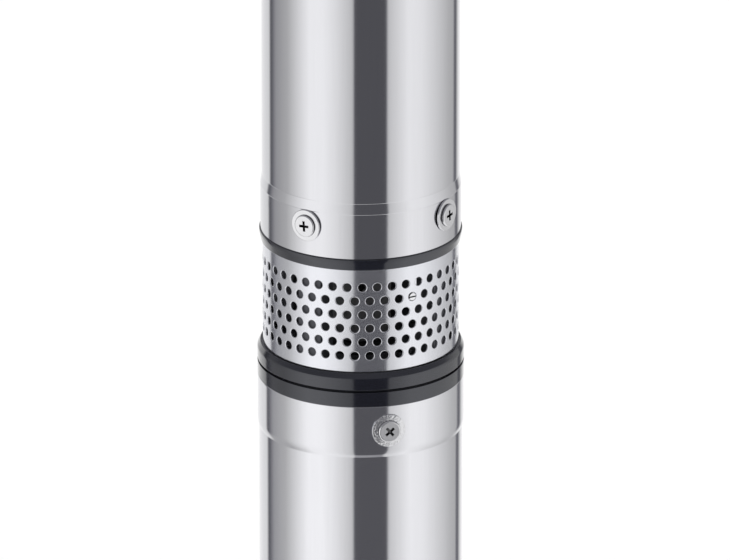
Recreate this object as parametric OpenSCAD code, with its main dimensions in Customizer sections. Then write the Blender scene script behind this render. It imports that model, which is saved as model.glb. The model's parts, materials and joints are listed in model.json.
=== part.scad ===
// Borehole submersible pump: a motor below, an intake strainer in the middle, a five-stage pump above.
// The axis is Z, the base stands on Z = 0 and the front faces -Y. Sizes are in millimetres.

/* [Rings and strainer] */
// Largest diameter of the pump, over the two rings under the strainer
ring_d = 96; // [96:0.5:104]
// Height of the ring on the motor bracket
motor_ring_h = 7.7; // [6:0.1:14]
// Height of the ring on the intake body
inlet_ring_h = 8.6; // [7:0.1:14]
// Height of the chamfer from that ring up to the strainer
inlet_chamfer_h = 2.4; // [1:0.1:4]
// Diameter of the lip under the pump tube
lip_d = 94.2; // [93.6:0.2:98]
// Height of the ring between strainer and pump tube
lip_ring_h = 5.4; // [4.5:0.1:10]
// Outside diameter of the strainer
strainer_d = 90.9; // [88:0.1:91.4]
// Sheet thickness of the strainer
strainer_t = 0.8; // [0.5:0.1:1.2]
// Height of the strainer between its rings
strainer_h = 50.4; // [46:0.1:80]
// Diameter of a strainer hole
hole_d = 4; // [2.5:0.1:4.8]
// Holes in each row
holes_per_row = 41; // [24:1:44]
// Rows of holes
hole_rows = 6; // [3:1:6]

/* [Pump tube] */
// Outside diameter of the pump tube
pump_tube_d = 91.6; // [89:0.2:92]
// Wall of the pump tube
pump_tube_wall = 1; // [0.8:0.1:1.4]
// How far its ends are opened out, on radius
pump_flare = 0.7; // [0.3:0.05:0.75]
// Height of an opened-out end
pump_flare_h = 21.5; // [20:0.5:30]
// Height of the taper beside it
pump_taper_h = 5.1; // [2:0.1:9]

/* [Motor tube] */
// Outside diameter of the motor tube
motor_tube_d = 94.4; // [91:0.2:94.4]
// Wall of the motor tube
motor_tube_wall = 1.2; // [0.8:0.1:1.8]
// How far its top end is opened out, on radius
motor_flare = 0.6; // [0.3:0.05:0.65]
// Height of the opened-out end
motor_flare_h = 22.8; // [20:0.2:27]
// Height of the rolled step under it
motor_taper_h = 2.4; // [1:0.1:4]

/* [Tube screws] */
// Thread diameter of the screws
screw_d = 5; // [4:0.5:5.5]
// Diameter of a screw head
screw_head_d = 10.4; // [8.5:0.1:11.5]
// Height of a screw head
screw_head_h = 1.2; // [1:0.1:3.2]
// Diameter of a flat washer on the pump tube
washer_d = 15.2; // [12.5:0.1:16]
// Thickness of a flat washer
washer_t = 1; // [0.8:0.1:2]
// Diameter of a dished washer on the motor tube
cup_washer_d = 15.8; // [12.5:0.1:16]
// Height of a dished washer
cup_washer_h = 1.2; // [1:0.1:2.6]
// Distance of the pump tube screws from the end of the tube
pump_screw_z = 14.5; // [13:0.1:15.5]
// Distance of the motor tube screws from the end of the tube
motor_screw_z = 11.9; // [11:0.1:15]
// Angle of the first pump tube screw from the front
pump_screw_angle = -32.5; // [-36:0.5:-28]
// Angle of the first motor tube screw from the front
motor_screw_angle = 15.7; // [0:0.1:30]

/* [Motor] */
// Length of the laminated stator
stack_h = 120; // [80:5:200]
// Bore of the stator
stator_bore_d = 48; // [46:0.5:50]
// Slots in the stator
stator_slots = 24; // [18:6:30]
// Gap between rotor and stator, on radius
air_gap = 0.4; // [0.3:0.05:0.8]
// Height of a winding head
winding_h = 30; // [20:1:40]
// Room between a winding head and the fitting beyond it
winding_room = 10; // [6:1:16]
// Diameter of the shaft inside the rotor
rotor_shaft_d = 22; // [21:0.5:26]
// Height of the flange of the bottom cap
cap_flange_h = 12; // [8:1:20]
// Height of the bottom cap inside the tube
cap_spigot_h = 28; // [27:1:36]
// Height of the motor bracket inside the tube
bracket_spigot_h = 40; // [39:1:46]

/* [Bearings] */
// Bore of the lower ball bearing
lower_bearing_bore = 15; // [12:1:17]
// Outside diameter of the lower ball bearing
lower_bearing_d = 35; // [32:1:37]
// Width of the lower ball bearing
lower_bearing_w = 11; // [9:1:12]
// Bore of the upper ball bearing
upper_bearing_bore = 17; // [17:0.5:19]
// Outside diameter of the upper ball bearing
upper_bearing_d = 40; // [37:1:42]
// Width of the upper ball bearing
upper_bearing_w = 12; // [10:1:14]

/* [Shaft seal and coupling] */
// Diameter of the shaft in the seal
seal_shaft_d = 16; // [15:0.5:16.5]
// Diameter of both shafts in the coupling
coupling_shaft_d = 14; // [12.5:0.5:14.5]
// Outside diameter of the coupling
coupling_d = 28; // [24:1:32]
// Diameter of the cable that the gland takes
cable_d = 7; // [5:0.5:8]

/* [Pump stages] */
// Height of one stage
stage_h = 28; // [26:0.5:36]
// Outside diameter of an impeller
impeller_d = 72; // [64:1:74]
// Inside diameter of an impeller's eye
eye_d = 31; // [27:0.5:33]
// Vanes in an impeller
impeller_vanes = 6; // [4:1:7]
// Vanes in a diffuser
diffuser_vanes = 7; // [5:1:9]
// Width of the hexagon shaft over its flats
hex_af = 12; // [11:0.2:12]
// Height of the top bearing bracket
top_bracket_h = 20; // [18:1:30]

/* [Discharge head] */
// Bore of the outlet thread
outlet_bore_d = 38.95; // [34:0.05:40]
// Length of the outlet thread
outlet_thread_h = 24; // [20:1:32]
// Width of the octagon over its flats
boss_af = 58; // [56:1:62]
// Height of the head's flange
head_flange_h = 6; // [4:0.5:10]
// Diameter of a rope eye
rope_eye_d = 10; // [8:0.5:12]
// Thickness of a rope lug
lug_t = 9; // [7:0.5:12]
// Travel of the check valve
valve_lift = 7; // [4:0.5:8]
// Diameter of the valve's stem
stem_d = 7; // [6:0.5:9]

/* [Fits] */
// Clearance of parts that slide into a tube, on radius
slide_fit = 0.1; // [0.05:0.01:0.2]
// Clearance of a shaft in its bush, on radius
run_fit = 0.06; // [0.03:0.01:0.1]
// Clearance between turning and still parts elsewhere, on radius
turn_gap = 0.3; // [0.25:0.05:0.4]
// Section of the O-rings
o_ring_d = 2.5; // [2:0.1:3]

/* [Hidden] */
$fn = 96;
over = 1; // how far a cutting shape stands past the face it cuts
seat_gap = 0.05; // gap under parts that only rest on a neighbour
face_gap = 0.05; // gap between faces that run or seat on each other
edge = 0.4; // small chamfer
stages = 5;

// Radii of the tubes and of what fits in them
ring_r = ring_d / 2;
lip_r = lip_d / 2;
pump_ro = pump_tube_d / 2;
pump_ri = pump_ro - pump_tube_wall;
pump_end_ro = pump_ro + pump_flare;
pump_end_ri = pump_end_ro - pump_tube_wall;
motor_ro = motor_tube_d / 2;
motor_ri = motor_ro - motor_tube_wall;
motor_end_ro = motor_ro + motor_flare;
motor_end_ri = motor_end_ro - motor_tube_wall;
spigot_r = pump_end_ri - slide_fit;
bracket_r = motor_end_ri - slide_fit;
cap_r = motor_ri - slide_fit;
strainer_ro = strainer_d / 2;
strainer_ri = strainer_ro - strainer_t;
rebate_r = strainer_ro + 0.9; // rebate in the ring under the strainer
lip_rebate_r = strainer_ro + 0.45; // rebate in the ring over it
rebate_h = 1;
rim_relief = 2.4; // depth of the open joint between the two black rings
rim_gap = 0.6; // half of its height
skirt_r = 36; // inside of the walls that the tube screws hold in
column_r = strainer_ri - 0.35; // outside of the intake's columns
column_w = 12;
column_ri = 34;

// Heights from the base upwards
z_motor_tube = cap_flange_h;
z_cap_top = z_motor_tube + cap_spigot_h;
z_stack = z_cap_top + winding_room + winding_h;
z_stack_top = z_stack + stack_h;
z_bracket_low = z_stack_top + winding_h + winding_room;
z_bracket = z_bracket_low + bracket_spigot_h;
z_motor_step = z_bracket - motor_flare_h;
z_inlet = z_bracket + motor_ring_h;
z_strainer = z_inlet + inlet_ring_h;
z_lip_ring = z_strainer + strainer_h;
z_pump_tube = z_lip_ring + lip_ring_h;
end_spigot_h = pump_flare_h - edge;
z_stage = z_pump_tube + end_spigot_h;
z_top_bracket = z_stage + stages * stage_h;
z_head_low = z_top_bracket + top_bracket_h;
z_head = z_head_low + end_spigot_h;

// Shaft line
lower_seat_z = z_cap_top - lower_bearing_w;
upper_seat_z = z_bracket_low + upper_bearing_w;
web_h = 4; // wall between the upper bearing and the seal
z_seal = upper_seat_z + web_h;
seal_r = 16.2;
seal_shaft_r = seal_shaft_d / 2;
seat_h = 7;
z_nose = z_inlet + 4.3;
nose_r = 19.5;
z_seat = z_nose - 2 - seat_h;
slinger_h = 5;
z_slinger = z_nose + 1;
slinger_r = 17;
coupling_shaft_r = coupling_shaft_d / 2;
hub_drop = 4; // how far the lower bush hub hangs under the lip ring
z_coupling = z_slinger + slinger_h + 2;
z_coupling_top = z_lip_ring - hub_drop - 7;
z_joint = (z_coupling + z_coupling_top) / 2;
bush_wall = 4.5;
lower_bush_r = coupling_shaft_r + run_fit + bush_wall;
lower_hub_r = lower_bush_r + 3.5;
hub_rise = 6; // how far that hub stands over the tube's end
shaft_collar_r = 9;
hub_start = 2; // an impeller hub starts this far over the floor of its stage
z_first_hub = z_stage + hub_start;
z_stack_nut = z_top_bracket + hub_start;
nut_h = 6;
nut_af = 19;
z_top_bush = z_stack_nut + nut_h + 1.5;
journal_r = hex_af / 2;
top_bush_r = journal_r + run_fit + 4;

// Screws
screw_r = screw_d / 2;
screw_hole_r = screw_r + 0.05;
screw_clear_r = screw_r + 0.3;
screw_bite = 8; // length of thread behind the tube wall
pump_screw_angles = [for (k = [0:3]) pump_screw_angle + 90 * k];
motor_screw_angles = [for (k = [0:1]) motor_screw_angle + 180 * k];
pump_screw_heights = [z_pump_tube + pump_screw_z, z_head - pump_screw_z];
motor_screw_heights = [z_motor_tube + motor_screw_z, z_bracket - motor_screw_z];

// O-rings and their grooves
groove_w = o_ring_d + 0.7;
groove_depth = o_ring_d + 2 * seat_gap - slide_fit;
groove_z = 5.8; // middle of a groove from the end of the pump tube
cap_groove_z = z_cap_top - 4.5;
bracket_groove_z = z_bracket_low + 4.5;

// Intake bolts, cable gland and cable exit
bolt_angles = [for (k = [0:3]) pump_screw_angle + 67.5 + 90 * k];
bolt_circle_r = 33;
bolt_r = 3;
bolt_head_r = 5;
bolt_head_h = 5;
bolt_bite = 9;
gland_angle = 180;
gland_circle_r = 32.5;
gland_bore_r = cable_d / 2 + 1.5;
gland_thread_r = gland_bore_r + 2;
gland_af = 2 * gland_thread_r + 4;
gland_nut_h = 7;
gland_cap_h = 7;
grommet_r = cable_d / 2 + 4;
grommet_groove_r = grommet_r - 2;
z_grommet = z_lip_ring - 15;
grommet_keep = grommet_r + 1 + hole_d / 2; // no strainer hole comes nearer than this

// Strainer holes
top_margin = 8.7;
bottom_margin = 8.1;
row_pitch = (strainer_h - top_margin - bottom_margin) / (hole_rows - 1);
hole_step = 360 / holes_per_row;
first_hole_angle = 0.95;
rivet_row = 1;
rivet_angle = first_hole_angle - hole_step / 2 + hole_step * round(36 / hole_step);
rivet_r = hole_d / 2 - 0.3;
rivet_drop = top_margin + rivet_row * row_pitch;
tab_w = 4;
tab_t = 0.8;
tab_end_r = 4.6;
tab_shift = 0.7; // the tab lies this far to the right of its rivet
seam_angle = 113; // the rolled seam of the sleeve has no holes

// Pump stages
diffuser_ro = pump_ri - 2 * slide_fit;
diffuser_wall = 2.5;
diffuser_ri = diffuser_ro - diffuser_wall;
floor_t = 2.2;
deck_z = stage_h / 2;
deck_t = 2.4;
deck_r = impeller_d / 2 + 0.5;
hub_r = 9.3;
deck_bore_r = hub_r + turn_gap;
eye_r = eye_d / 2;
neck_r = eye_r + 2.5;
eye_hole_r = neck_r + turn_gap;
shroud_t = 1.8;
impeller_low = floor_t + 1;
impeller_top = deck_z - 1.2;
vane_t = 1.6;
vane_bite = 0.3; // how far a vane runs into the walls beside it
impeller_blade_angle = 27;
diffuser_blade_angle = 38;

// Discharge head, heights from the top of the pump tube
insert_r = outlet_bore_d / 2 + 4;
outlet_z = head_flange_h + 23;
boss_z = head_flange_h + 16;
throat_r = outlet_bore_d / 2 - 0.5;
head_top = outlet_z + outlet_thread_h;
insert_flange_h = 2;
chamber_r = 33;
shoulder_r = 30;
seat_pocket_r = skirt_r;
seat_ring_h = 6;
lug_x = 37.5;
lug_r = rope_eye_d / 2 + 3.2;
lug_z = head_flange_h + 32;
seal_disc_h = 2;
disc_h = 3.5;
disc_r = 23;
port_r = 18;
spring_wire_r = 0.7;
spring_turns = 4;
spring_r = stem_d / 2 + 2.3;
spring_h = spring_turns * 2 * spring_wire_r + valve_lift + 1;
guide_h = 6;
guide_hub_r = stem_d / 2 + 4;
guide_hub_h = 9;
z_valve = z_head_low + seat_ring_h;
z_spring = z_valve + face_gap + seal_disc_h + disc_h;
z_guide = z_spring + spring_h;
chamber_top = z_guide + guide_h - z_head;

// Ball bearings: balls in each, and shares of the ring widths
bearing_balls = 8;
ball_share = 0.15;
land_share = 0.75;
ball_gap = 0.12;

steel = [0.78, 0.78, 0.8];
black = [0.12, 0.12, 0.13];
copper = [0.72, 0.42, 0.24];
lamination = [0.45, 0.46, 0.48];
brass = [0.8, 0.66, 0.36];
rubber = [0.07, 0.07, 0.07];
stage_grey = [0.2, 0.22, 0.24];
carbon = [0.25, 0.25, 0.26];

// Helpers

module lathe(points) {
  rotate_extrude() polygon(points);
}

module sleeve(r_out, r_in, h) {
  difference() {
    cylinder(h = h, r = r_out);
    translate([0, 0, -over]) cylinder(h = h + 2 * over, r = r_in);
  }
}

module hexagon(af, h) {
  cylinder(h = h, r = af / 2 / cos(30), $fn = 6);
}

// Places a shape on a circle; angles run from the front towards +X
module upright(angle, radius, z) {
  rotate([0, 0, angle]) translate([0, -radius, z]) children();
}

// The same, with the shape's own Z pointing away from the axis
module outward(angle, radius, z) {
  rotate([0, 0, angle]) translate([0, -radius, z]) rotate([90, 0, 0]) children();
}

module radial_holes(angles, heights, r_from, r_to, hole_r) {
  for (a = angles) for (z = heights) outward(a, r_from, z) cylinder(h = r_to - r_from, r = hole_r);
}

module o_ring(wall_r, z) {
  color(rubber) translate([0, 0, z]) rotate_extrude()
    translate([wall_r + slide_fit - seat_gap - o_ring_d / 2, 0]) circle(d = o_ring_d);
}

module groove(wall_r, z) {
  translate([0, 0, z - groove_w / 2]) sleeve(wall_r + over, wall_r - groove_depth, groove_w);
}

// A coil as a swept wire: rings of points round the wire, joined by quads, with flat ends
module coil(coil_r, wire_r, h, turns) {
  sides = 8;
  steps = turns * 18;
  rise = h - 2 * wire_r;
  function wire_point(i, k) = let (
    a = 360 * turns * i / steps,
    b = 360 * k / sides,
    r = coil_r + wire_r * cos(b)
  ) [r * cos(a), r * sin(a), wire_r + rise * i / steps + wire_r * sin(b)];
  points = [for (i = [0:steps]) for (k = [0:sides - 1]) wire_point(i, k)];
  skin = [for (i = [0:steps - 1]) for (k = [0:sides - 1])
    [i * sides + k, (i + 1) * sides + k, (i + 1) * sides + (k + 1) % sides, i * sides + (k + 1) % sides]];
  first_end = [[for (k = [0:sides - 1]) k]];
  last_end = [[for (k = [0:sides - 1]) steps * sides + sides - 1 - k]];
  polyhedron(points, concat(skin, first_end, last_end), convexity = 10);
}

// One curved vane: the arc of an offset ring that crosses a band at the given blade angle.
// A negative angle leans it the other way.
module vane_2d(r_in, r_out, blade_angle) {
  lean = 2 * cos(blade_angle);
  arc_r = (r_in + r_out) / lean;
  arc_x = sqrt(arc_r * arc_r - (lean * arc_r * r_in - r_in * r_in));
  intersection() {
    difference() {
      circle(r = r_out);
      circle(r = r_in);
    }
    translate([arc_x, 0]) difference() {
      circle(r = arc_r + vane_t / 2);
      circle(r = arc_r - vane_t / 2);
    }
    translate([-2 * r_out, blade_angle > 0 ? 0 : -2 * r_out]) square([4 * r_out, 2 * r_out]);
  }
}

module vanes(count, r_in, r_out, blade_angle, h) {
  for (k = [0:count - 1]) rotate([0, 0, 360 / count * k])
    linear_extrude(height = h) vane_2d(r_in, r_out, blade_angle);
}

// A low head screw whose cross recess is turned by an angle; its head sits on Z = 0 and points along +Z
module tube_screw(grip, recess_turn) {
  head_r = screw_head_d / 2;
  recess_w = screw_d * 0.22;
  recess_l = screw_head_d * 0.52;
  recess_h = screw_head_h * 0.6;
  difference() {
    lathe([
      [0, 0], [head_r, 0], [head_r, screw_head_h * 0.7], [head_r * 0.93, screw_head_h], [0, screw_head_h]
    ]);
    for (turn = [0, 90]) rotate([0, 0, recess_turn + turn])
      translate([-recess_l / 2, -recess_w / 2, screw_head_h - recess_h])
        cube([recess_l, recess_w, recess_h + over]);
  }
  translate([0, 0, -grip - screw_bite]) cylinder(h = grip + screw_bite + edge, r = screw_r);
}

// Ball bearings

module bearing_outer(bore, d, w) {
  pitch_r = (bore + d) / 4;
  ball_r = ball_share * (d - bore);
  color(steel) difference() {
    sleeve(d / 2, pitch_r + land_share * ball_r, w);
    translate([0, 0, w / 2]) rotate_extrude() translate([pitch_r, 0]) circle(r = ball_r + ball_gap);
  }
}

module bearing_inner(bore, d, w) {
  pitch_r = (bore + d) / 4;
  ball_r = ball_share * (d - bore);
  color(steel) difference() {
    sleeve(pitch_r - land_share * ball_r, bore / 2, w);
    translate([0, 0, w / 2]) rotate_extrude() translate([pitch_r, 0]) circle(r = ball_r + ball_gap);
  }
}

module bearing_balls(bore, d, w) {
  pitch_r = (bore + d) / 4;
  ball_r = ball_share * (d - bore);
  cage_h = 2 * ball_r + 1.4;
  cage_half = 0.4 * ball_r;
  color(brass) difference() {
    translate([0, 0, (w - cage_h) / 2]) sleeve(pitch_r + cage_half, pitch_r - cage_half, cage_h);
    for (k = [0:bearing_balls - 1]) upright(360 / bearing_balls * k, pitch_r, w / 2)
      sphere(r = ball_r + ball_gap / 2);
  }
  color(steel) for (k = [0:bearing_balls - 1]) upright(360 / bearing_balls * k, pitch_r, w / 2)
    sphere(r = ball_r);
}

// Motor

module bottom_cap() {
  foot_r = motor_ro - 1.6;
  hub_out = lower_bearing_d / 2 + 3.5;
  recess = 1.5;
  floor_h = cap_flange_h + 4;
  color(black) difference() {
    lathe([
      [0, recess], [30, recess], [30, 0], [foot_r, 0], [motor_ro + edge, 2], [motor_ro + edge, z_motor_tube],
      [cap_r, z_motor_tube], [cap_r, z_cap_top], [skirt_r, z_cap_top], [skirt_r, floor_h],
      [hub_out, floor_h], [hub_out, z_cap_top], [lower_bearing_d / 2, z_cap_top],
      [lower_bearing_d / 2, lower_seat_z], [lower_bearing_bore / 2 + 3, lower_seat_z],
      [lower_bearing_bore / 2 + 3, lower_seat_z - 5], [0, lower_seat_z - 5]
    ]);
    groove(cap_r, cap_groove_z);
    radial_holes(motor_screw_angles, [motor_screw_heights[0]], skirt_r - over, motor_ro, screw_hole_r);
  }
}

module motor_tube() {
  z_taper = z_motor_step - motor_taper_h;
  color(steel) difference() {
    lathe([
      [motor_ri, z_motor_tube], [motor_ro, z_motor_tube], [motor_ro, z_taper], [motor_end_ro, z_motor_step],
      [motor_end_ro, z_bracket], [motor_end_ri, z_bracket], [motor_end_ri, z_motor_step], [motor_ri, z_taper]
    ]);
    radial_holes(motor_screw_angles, motor_screw_heights, motor_ri - over, motor_end_ro + over,
      screw_clear_r);
  }
}

// The two heights have tubes of different radius, so each row is placed on its own wall
function motor_wall_r(row) = (row == 0 ? motor_ro : motor_end_ro) + seat_gap;

module motor_tube_screws() {
  color(steel) for (row = [0, 1]) for (a = motor_screw_angles)
    outward(a, motor_wall_r(row) + cup_washer_h, motor_screw_heights[row])
      tube_screw(cup_washer_h + motor_tube_wall, 45);
}

module motor_cup_washers() {
  rim_h = 0.5;
  color(steel) for (row = [0, 1]) for (a = motor_screw_angles)
    outward(a, motor_wall_r(row), motor_screw_heights[row]) lathe([
      [screw_clear_r, 0], [cup_washer_d / 2, 0], [cup_washer_d / 2, rim_h],
      [screw_head_d / 2 + 0.2, cup_washer_h], [screw_clear_r, cup_washer_h]
    ]);
}

module lower_o_ring() {
  o_ring(cap_r, cap_groove_z);
}

module upper_o_ring() {
  o_ring(cap_r, bracket_groove_z);
}

module stator_core() {
  bore_r = stator_bore_d / 2;
  slot_w = 0.52 * PI * stator_bore_d / stator_slots;
  slot_depth = (motor_ri - bore_r) * 0.6;
  mouth_w = 2;
  mouth_h = 1.4;
  color(lamination) translate([0, 0, z_stack]) difference() {
    sleeve(motor_ri - seat_gap, bore_r, stack_h);
    for (k = [0:stator_slots - 1]) rotate([0, 0, 360 / stator_slots * k]) {
      translate([bore_r + mouth_h, -slot_w / 2, -over]) cube([slot_depth, slot_w, stack_h + 2 * over]);
      translate([bore_r - over, -mouth_w / 2, -over]) cube([mouth_h + 2 * over, mouth_w, stack_h + 2 * over]);
    }
  }
}

module stator_winding() {
  bore_r = stator_bore_d / 2;
  slot_w = 0.52 * PI * stator_bore_d / stator_slots;
  slot_depth = (motor_ri - bore_r) * 0.6;
  liner = 0.3;
  wedge = 2.2;
  head_in = bore_r + 2.5;
  head_out = motor_ri - 3;
  soft = 4;
  color(copper) {
    for (k = [0:stator_slots - 1]) rotate([0, 0, 360 / stator_slots * k])
      translate([bore_r + wedge, -slot_w / 2 + liner, z_stack - over])
        cube([slot_depth + 1.4 - wedge - liner, slot_w - 2 * liner, stack_h + 2 * over]);
    for (side = [0, 1]) translate([0, 0, z_stack + side * stack_h]) mirror([0, 0, 1 - side]) lathe([
      [head_in, 0], [head_out, 0], [head_out, winding_h - soft], [head_out - soft, winding_h],
      [head_in + soft, winding_h], [head_in, winding_h - soft]
    ]);
  }
}

module motor_shaft() {
  low_r = lower_bearing_bore / 2;
  core_r = rotor_shaft_d / 2;
  up_r = upper_bearing_bore / 2;
  low_collar = low_r + 2;
  up_collar = up_r + 2;
  color(steel) lathe([
    [0, lower_seat_z - 3], [low_r - 0.8, lower_seat_z - 3], [low_r, lower_seat_z - 2.2], [low_r, z_cap_top],
    [low_collar, z_cap_top], [low_collar, z_cap_top + 4], [core_r, z_cap_top + 4],
    [core_r, z_bracket_low - 4], [up_collar, z_bracket_low - 4], [up_collar, z_bracket_low],
    [up_r, z_bracket_low], [up_r, z_seal - 1], [seal_shaft_r, z_seal - 1],
    [seal_shaft_r, z_coupling - 1], [coupling_shaft_r, z_coupling - 1],
    [coupling_shaft_r, z_joint - 0.9], [coupling_shaft_r - 0.7, z_joint - 0.2], [0, z_joint - 0.2]
  ]);
}

module rotor_core() {
  color(lamination) translate([0, 0, z_stack])
    sleeve(stator_bore_d / 2 - air_gap, rotor_shaft_d / 2, stack_h);
}

module rotor_end_rings() {
  ring_h = 8;
  ring_out = stator_bore_d / 2 - 1.8;
  ring_in = rotor_shaft_d / 2 + 2.5;
  color(steel) {
    translate([0, 0, z_stack - ring_h]) sleeve(ring_out, ring_in, ring_h);
    translate([0, 0, z_stack_top]) sleeve(ring_out, ring_in, ring_h);
  }
}

module lower_bearing_outer_ring() {
  translate([0, 0, lower_seat_z]) bearing_outer(lower_bearing_bore, lower_bearing_d, lower_bearing_w);
}

module lower_bearing_inner_ring() {
  translate([0, 0, lower_seat_z]) bearing_inner(lower_bearing_bore, lower_bearing_d, lower_bearing_w);
}

module lower_bearing_balls() {
  translate([0, 0, lower_seat_z]) bearing_balls(lower_bearing_bore, lower_bearing_d, lower_bearing_w);
}

module upper_bearing_outer_ring() {
  translate([0, 0, z_bracket_low]) bearing_outer(upper_bearing_bore, upper_bearing_d, upper_bearing_w);
}

module upper_bearing_inner_ring() {
  translate([0, 0, z_bracket_low]) bearing_inner(upper_bearing_bore, upper_bearing_d, upper_bearing_w);
}

module upper_bearing_balls() {
  translate([0, 0, z_bracket_low]) bearing_balls(upper_bearing_bore, upper_bearing_d, upper_bearing_w);
}

// Motor bracket, shaft seal and cable gland

module motor_bracket() {
  pocket_top = z_bracket - 6;
  hub_out = max(upper_bearing_d / 2, seal_r) + 3.5;
  step_z = z_motor_step + slide_fit;
  web_r = upper_bearing_bore / 2 + 2.5;
  color(black) difference() {
    lathe([
      [cap_r, z_bracket_low], [cap_r, step_z], [bracket_r, step_z], [bracket_r, z_bracket],
      [motor_end_ro + 0.15, z_bracket], [ring_r, z_inlet - 1.5], [ring_r, z_inlet - rim_gap],
      [ring_r - rim_relief, z_inlet - rim_gap], [ring_r - rim_relief, z_inlet], [nose_r, z_inlet],
      [nose_r, z_nose], [seal_r, z_nose], [seal_r, z_seal], [web_r, z_seal], [web_r, upper_seat_z],
      [upper_bearing_d / 2, upper_seat_z], [upper_bearing_d / 2, z_bracket_low], [hub_out, z_bracket_low],
      [hub_out, pocket_top], [skirt_r, pocket_top], [skirt_r, z_bracket_low]
    ]);
    groove(cap_r, bracket_groove_z);
    radial_holes(motor_screw_angles, [motor_screw_heights[1]], skirt_r - over, motor_end_ro, screw_hole_r);
    for (a = bolt_angles) upright(a, bolt_circle_r, z_inlet - bolt_bite - 1)
      cylinder(h = bolt_bite + 1 + over, r = bolt_r + seat_gap);
    upright(gland_angle, gland_circle_r, pocket_top - over)
      cylinder(h = z_inlet - pocket_top + 2 * over, r = gland_thread_r + seat_gap);
  }
}

module seal_seat() {
  color([0.85, 0.84, 0.8]) translate([0, 0, z_seat]) sleeve(seal_r, seal_shaft_r + 1, seat_h);
}

z_seal_collar = z_seal + 2;
seal_collar_h = 4;
seal_ring_h = 7;
z_seal_ring = z_seat - face_gap - seal_ring_h;
z_seal_spring = z_seal_collar + seal_collar_h;

module seal_ring() {
  color(carbon) translate([0, 0, z_seal_ring]) sleeve(13, seal_shaft_r, seal_ring_h);
}

module seal_spring() {
  color(steel) translate([0, 0, z_seal_spring])
    coil(seal_shaft_r + 2.6, 0.8, z_seal_ring - z_seal_spring, 4);
}

module seal_collar() {
  color(steel) translate([0, 0, z_seal_collar]) sleeve(13, seal_shaft_r, seal_collar_h);
}

module sand_slinger() {
  lip = 1.6;
  color(rubber) lathe([
    [seal_shaft_r, z_slinger], [slinger_r, z_slinger], [slinger_r, z_slinger + lip],
    [seal_shaft_r + 4, z_slinger + lip + 1.2], [seal_shaft_r + 3, z_slinger + slinger_h],
    [seal_shaft_r, z_slinger + slinger_h]
  ]);
}

module cable_gland() {
  color(brass) upright(gland_angle, gland_circle_r, 0) difference() {
    union() {
      translate([0, 0, z_bracket - 4]) cylinder(h = z_inlet - z_bracket + 4, r = gland_thread_r);
      translate([0, 0, z_inlet]) hexagon(gland_af, gland_nut_h);
      translate([0, 0, z_inlet + gland_nut_h]) lathe([
        [0, 0], [gland_af / 2 - 0.5, 0], [gland_af / 2 - 0.5, gland_cap_h - 2.5],
        [gland_bore_r + 1.2, gland_cap_h], [0, gland_cap_h]
      ]);
    }
    translate([0, 0, z_bracket - 4 - over])
      cylinder(h = motor_ring_h + 4 + gland_nut_h + gland_cap_h + 2 * over, r = gland_bore_r);
  }
}

module gland_grommet() {
  color(rubber) upright(gland_angle, gland_circle_r, z_bracket)
    sleeve(gland_bore_r, cable_d / 2, motor_ring_h + gland_nut_h + gland_cap_h - 1);
}

// Intake

module inlet_body() {
  floor_z = z_strainer - rebate_h;
  column_z = floor_z - over;
  column_h = z_lip_ring + rebate_h + over - column_z;
  arm_w = 8;
  color(black) difference() {
    union() {
      lathe([
        [nose_r + 0.2, z_inlet], [ring_r - rim_relief, z_inlet], [ring_r - rim_relief, z_inlet + rim_gap],
        [ring_r, z_inlet + rim_gap], [ring_r, z_strainer - inlet_chamfer_h], [rebate_r + 0.3, z_strainer],
        [rebate_r, z_strainer], [rebate_r, floor_z], [nose_r + 0.2, floor_z]
      ]);
      for (a = pump_screw_angles) rotate([0, 0, a]) {
        intersection() {
          translate([0, 0, column_z]) sleeve(column_r, column_ri, column_h);
          translate([-column_w / 2, -ring_r, column_z]) cube([column_w, ring_r, column_h]);
        }
        translate([-arm_w / 2, -skirt_r - over, z_lip_ring])
          cube([arm_w, skirt_r + over - lower_bush_r - 1, lip_ring_h + 4]);
      }
      lathe([
        [skirt_r, z_lip_ring + rebate_h], [lip_rebate_r, z_lip_ring + rebate_h], [lip_rebate_r, z_lip_ring],
        [lip_rebate_r + 0.4, z_lip_ring], [lip_r, z_pump_tube - 1.4], [lip_r, z_pump_tube],
        [spigot_r, z_pump_tube], [spigot_r, z_stage], [skirt_r, z_stage]
      ]);
      translate([0, 0, z_lip_ring - hub_drop])
        sleeve(lower_hub_r, lower_bush_r, hub_drop + lip_ring_h + hub_rise);
    }
    groove(spigot_r, z_pump_tube + groove_z);
    radial_holes(pump_screw_angles, [pump_screw_heights[0]], skirt_r - over, pump_end_ro, screw_hole_r);
    for (a = bolt_angles) upright(a, bolt_circle_r, z_inlet - over)
      cylinder(h = inlet_ring_h + 2 * over, r = bolt_r + 0.3);
    upright(gland_angle, gland_circle_r, z_inlet - over)
      cylinder(h = inlet_ring_h + 2 * over, r = gland_af / 2 / cos(30) + 0.4);
  }
}

module bracket_bolts() {
  head_z = z_strainer - rebate_h;
  tip_z = z_inlet - bolt_bite;
  color(steel) for (a = bolt_angles) upright(a, bolt_circle_r, head_z) difference() {
    union() {
      cylinder(h = bolt_head_h, r = bolt_head_r);
      translate([0, 0, tip_z - head_z]) cylinder(h = head_z - tip_z + over, r = bolt_r);
    }
    translate([0, 0, bolt_head_h / 2]) hexagon(5, bolt_head_h);
  }
}

module coupling() {
  half = (z_coupling_top - z_coupling) / 2;
  color(steel) translate([0, 0, z_coupling]) difference() {
    sleeve(coupling_d / 2, coupling_shaft_r, 2 * half);
    for (z = [half * 0.5, half * 1.5]) outward(0, coupling_shaft_r - over, z)
      cylinder(h = coupling_d / 2 - coupling_shaft_r + 2 * over, r = 2);
  }
}

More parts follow.
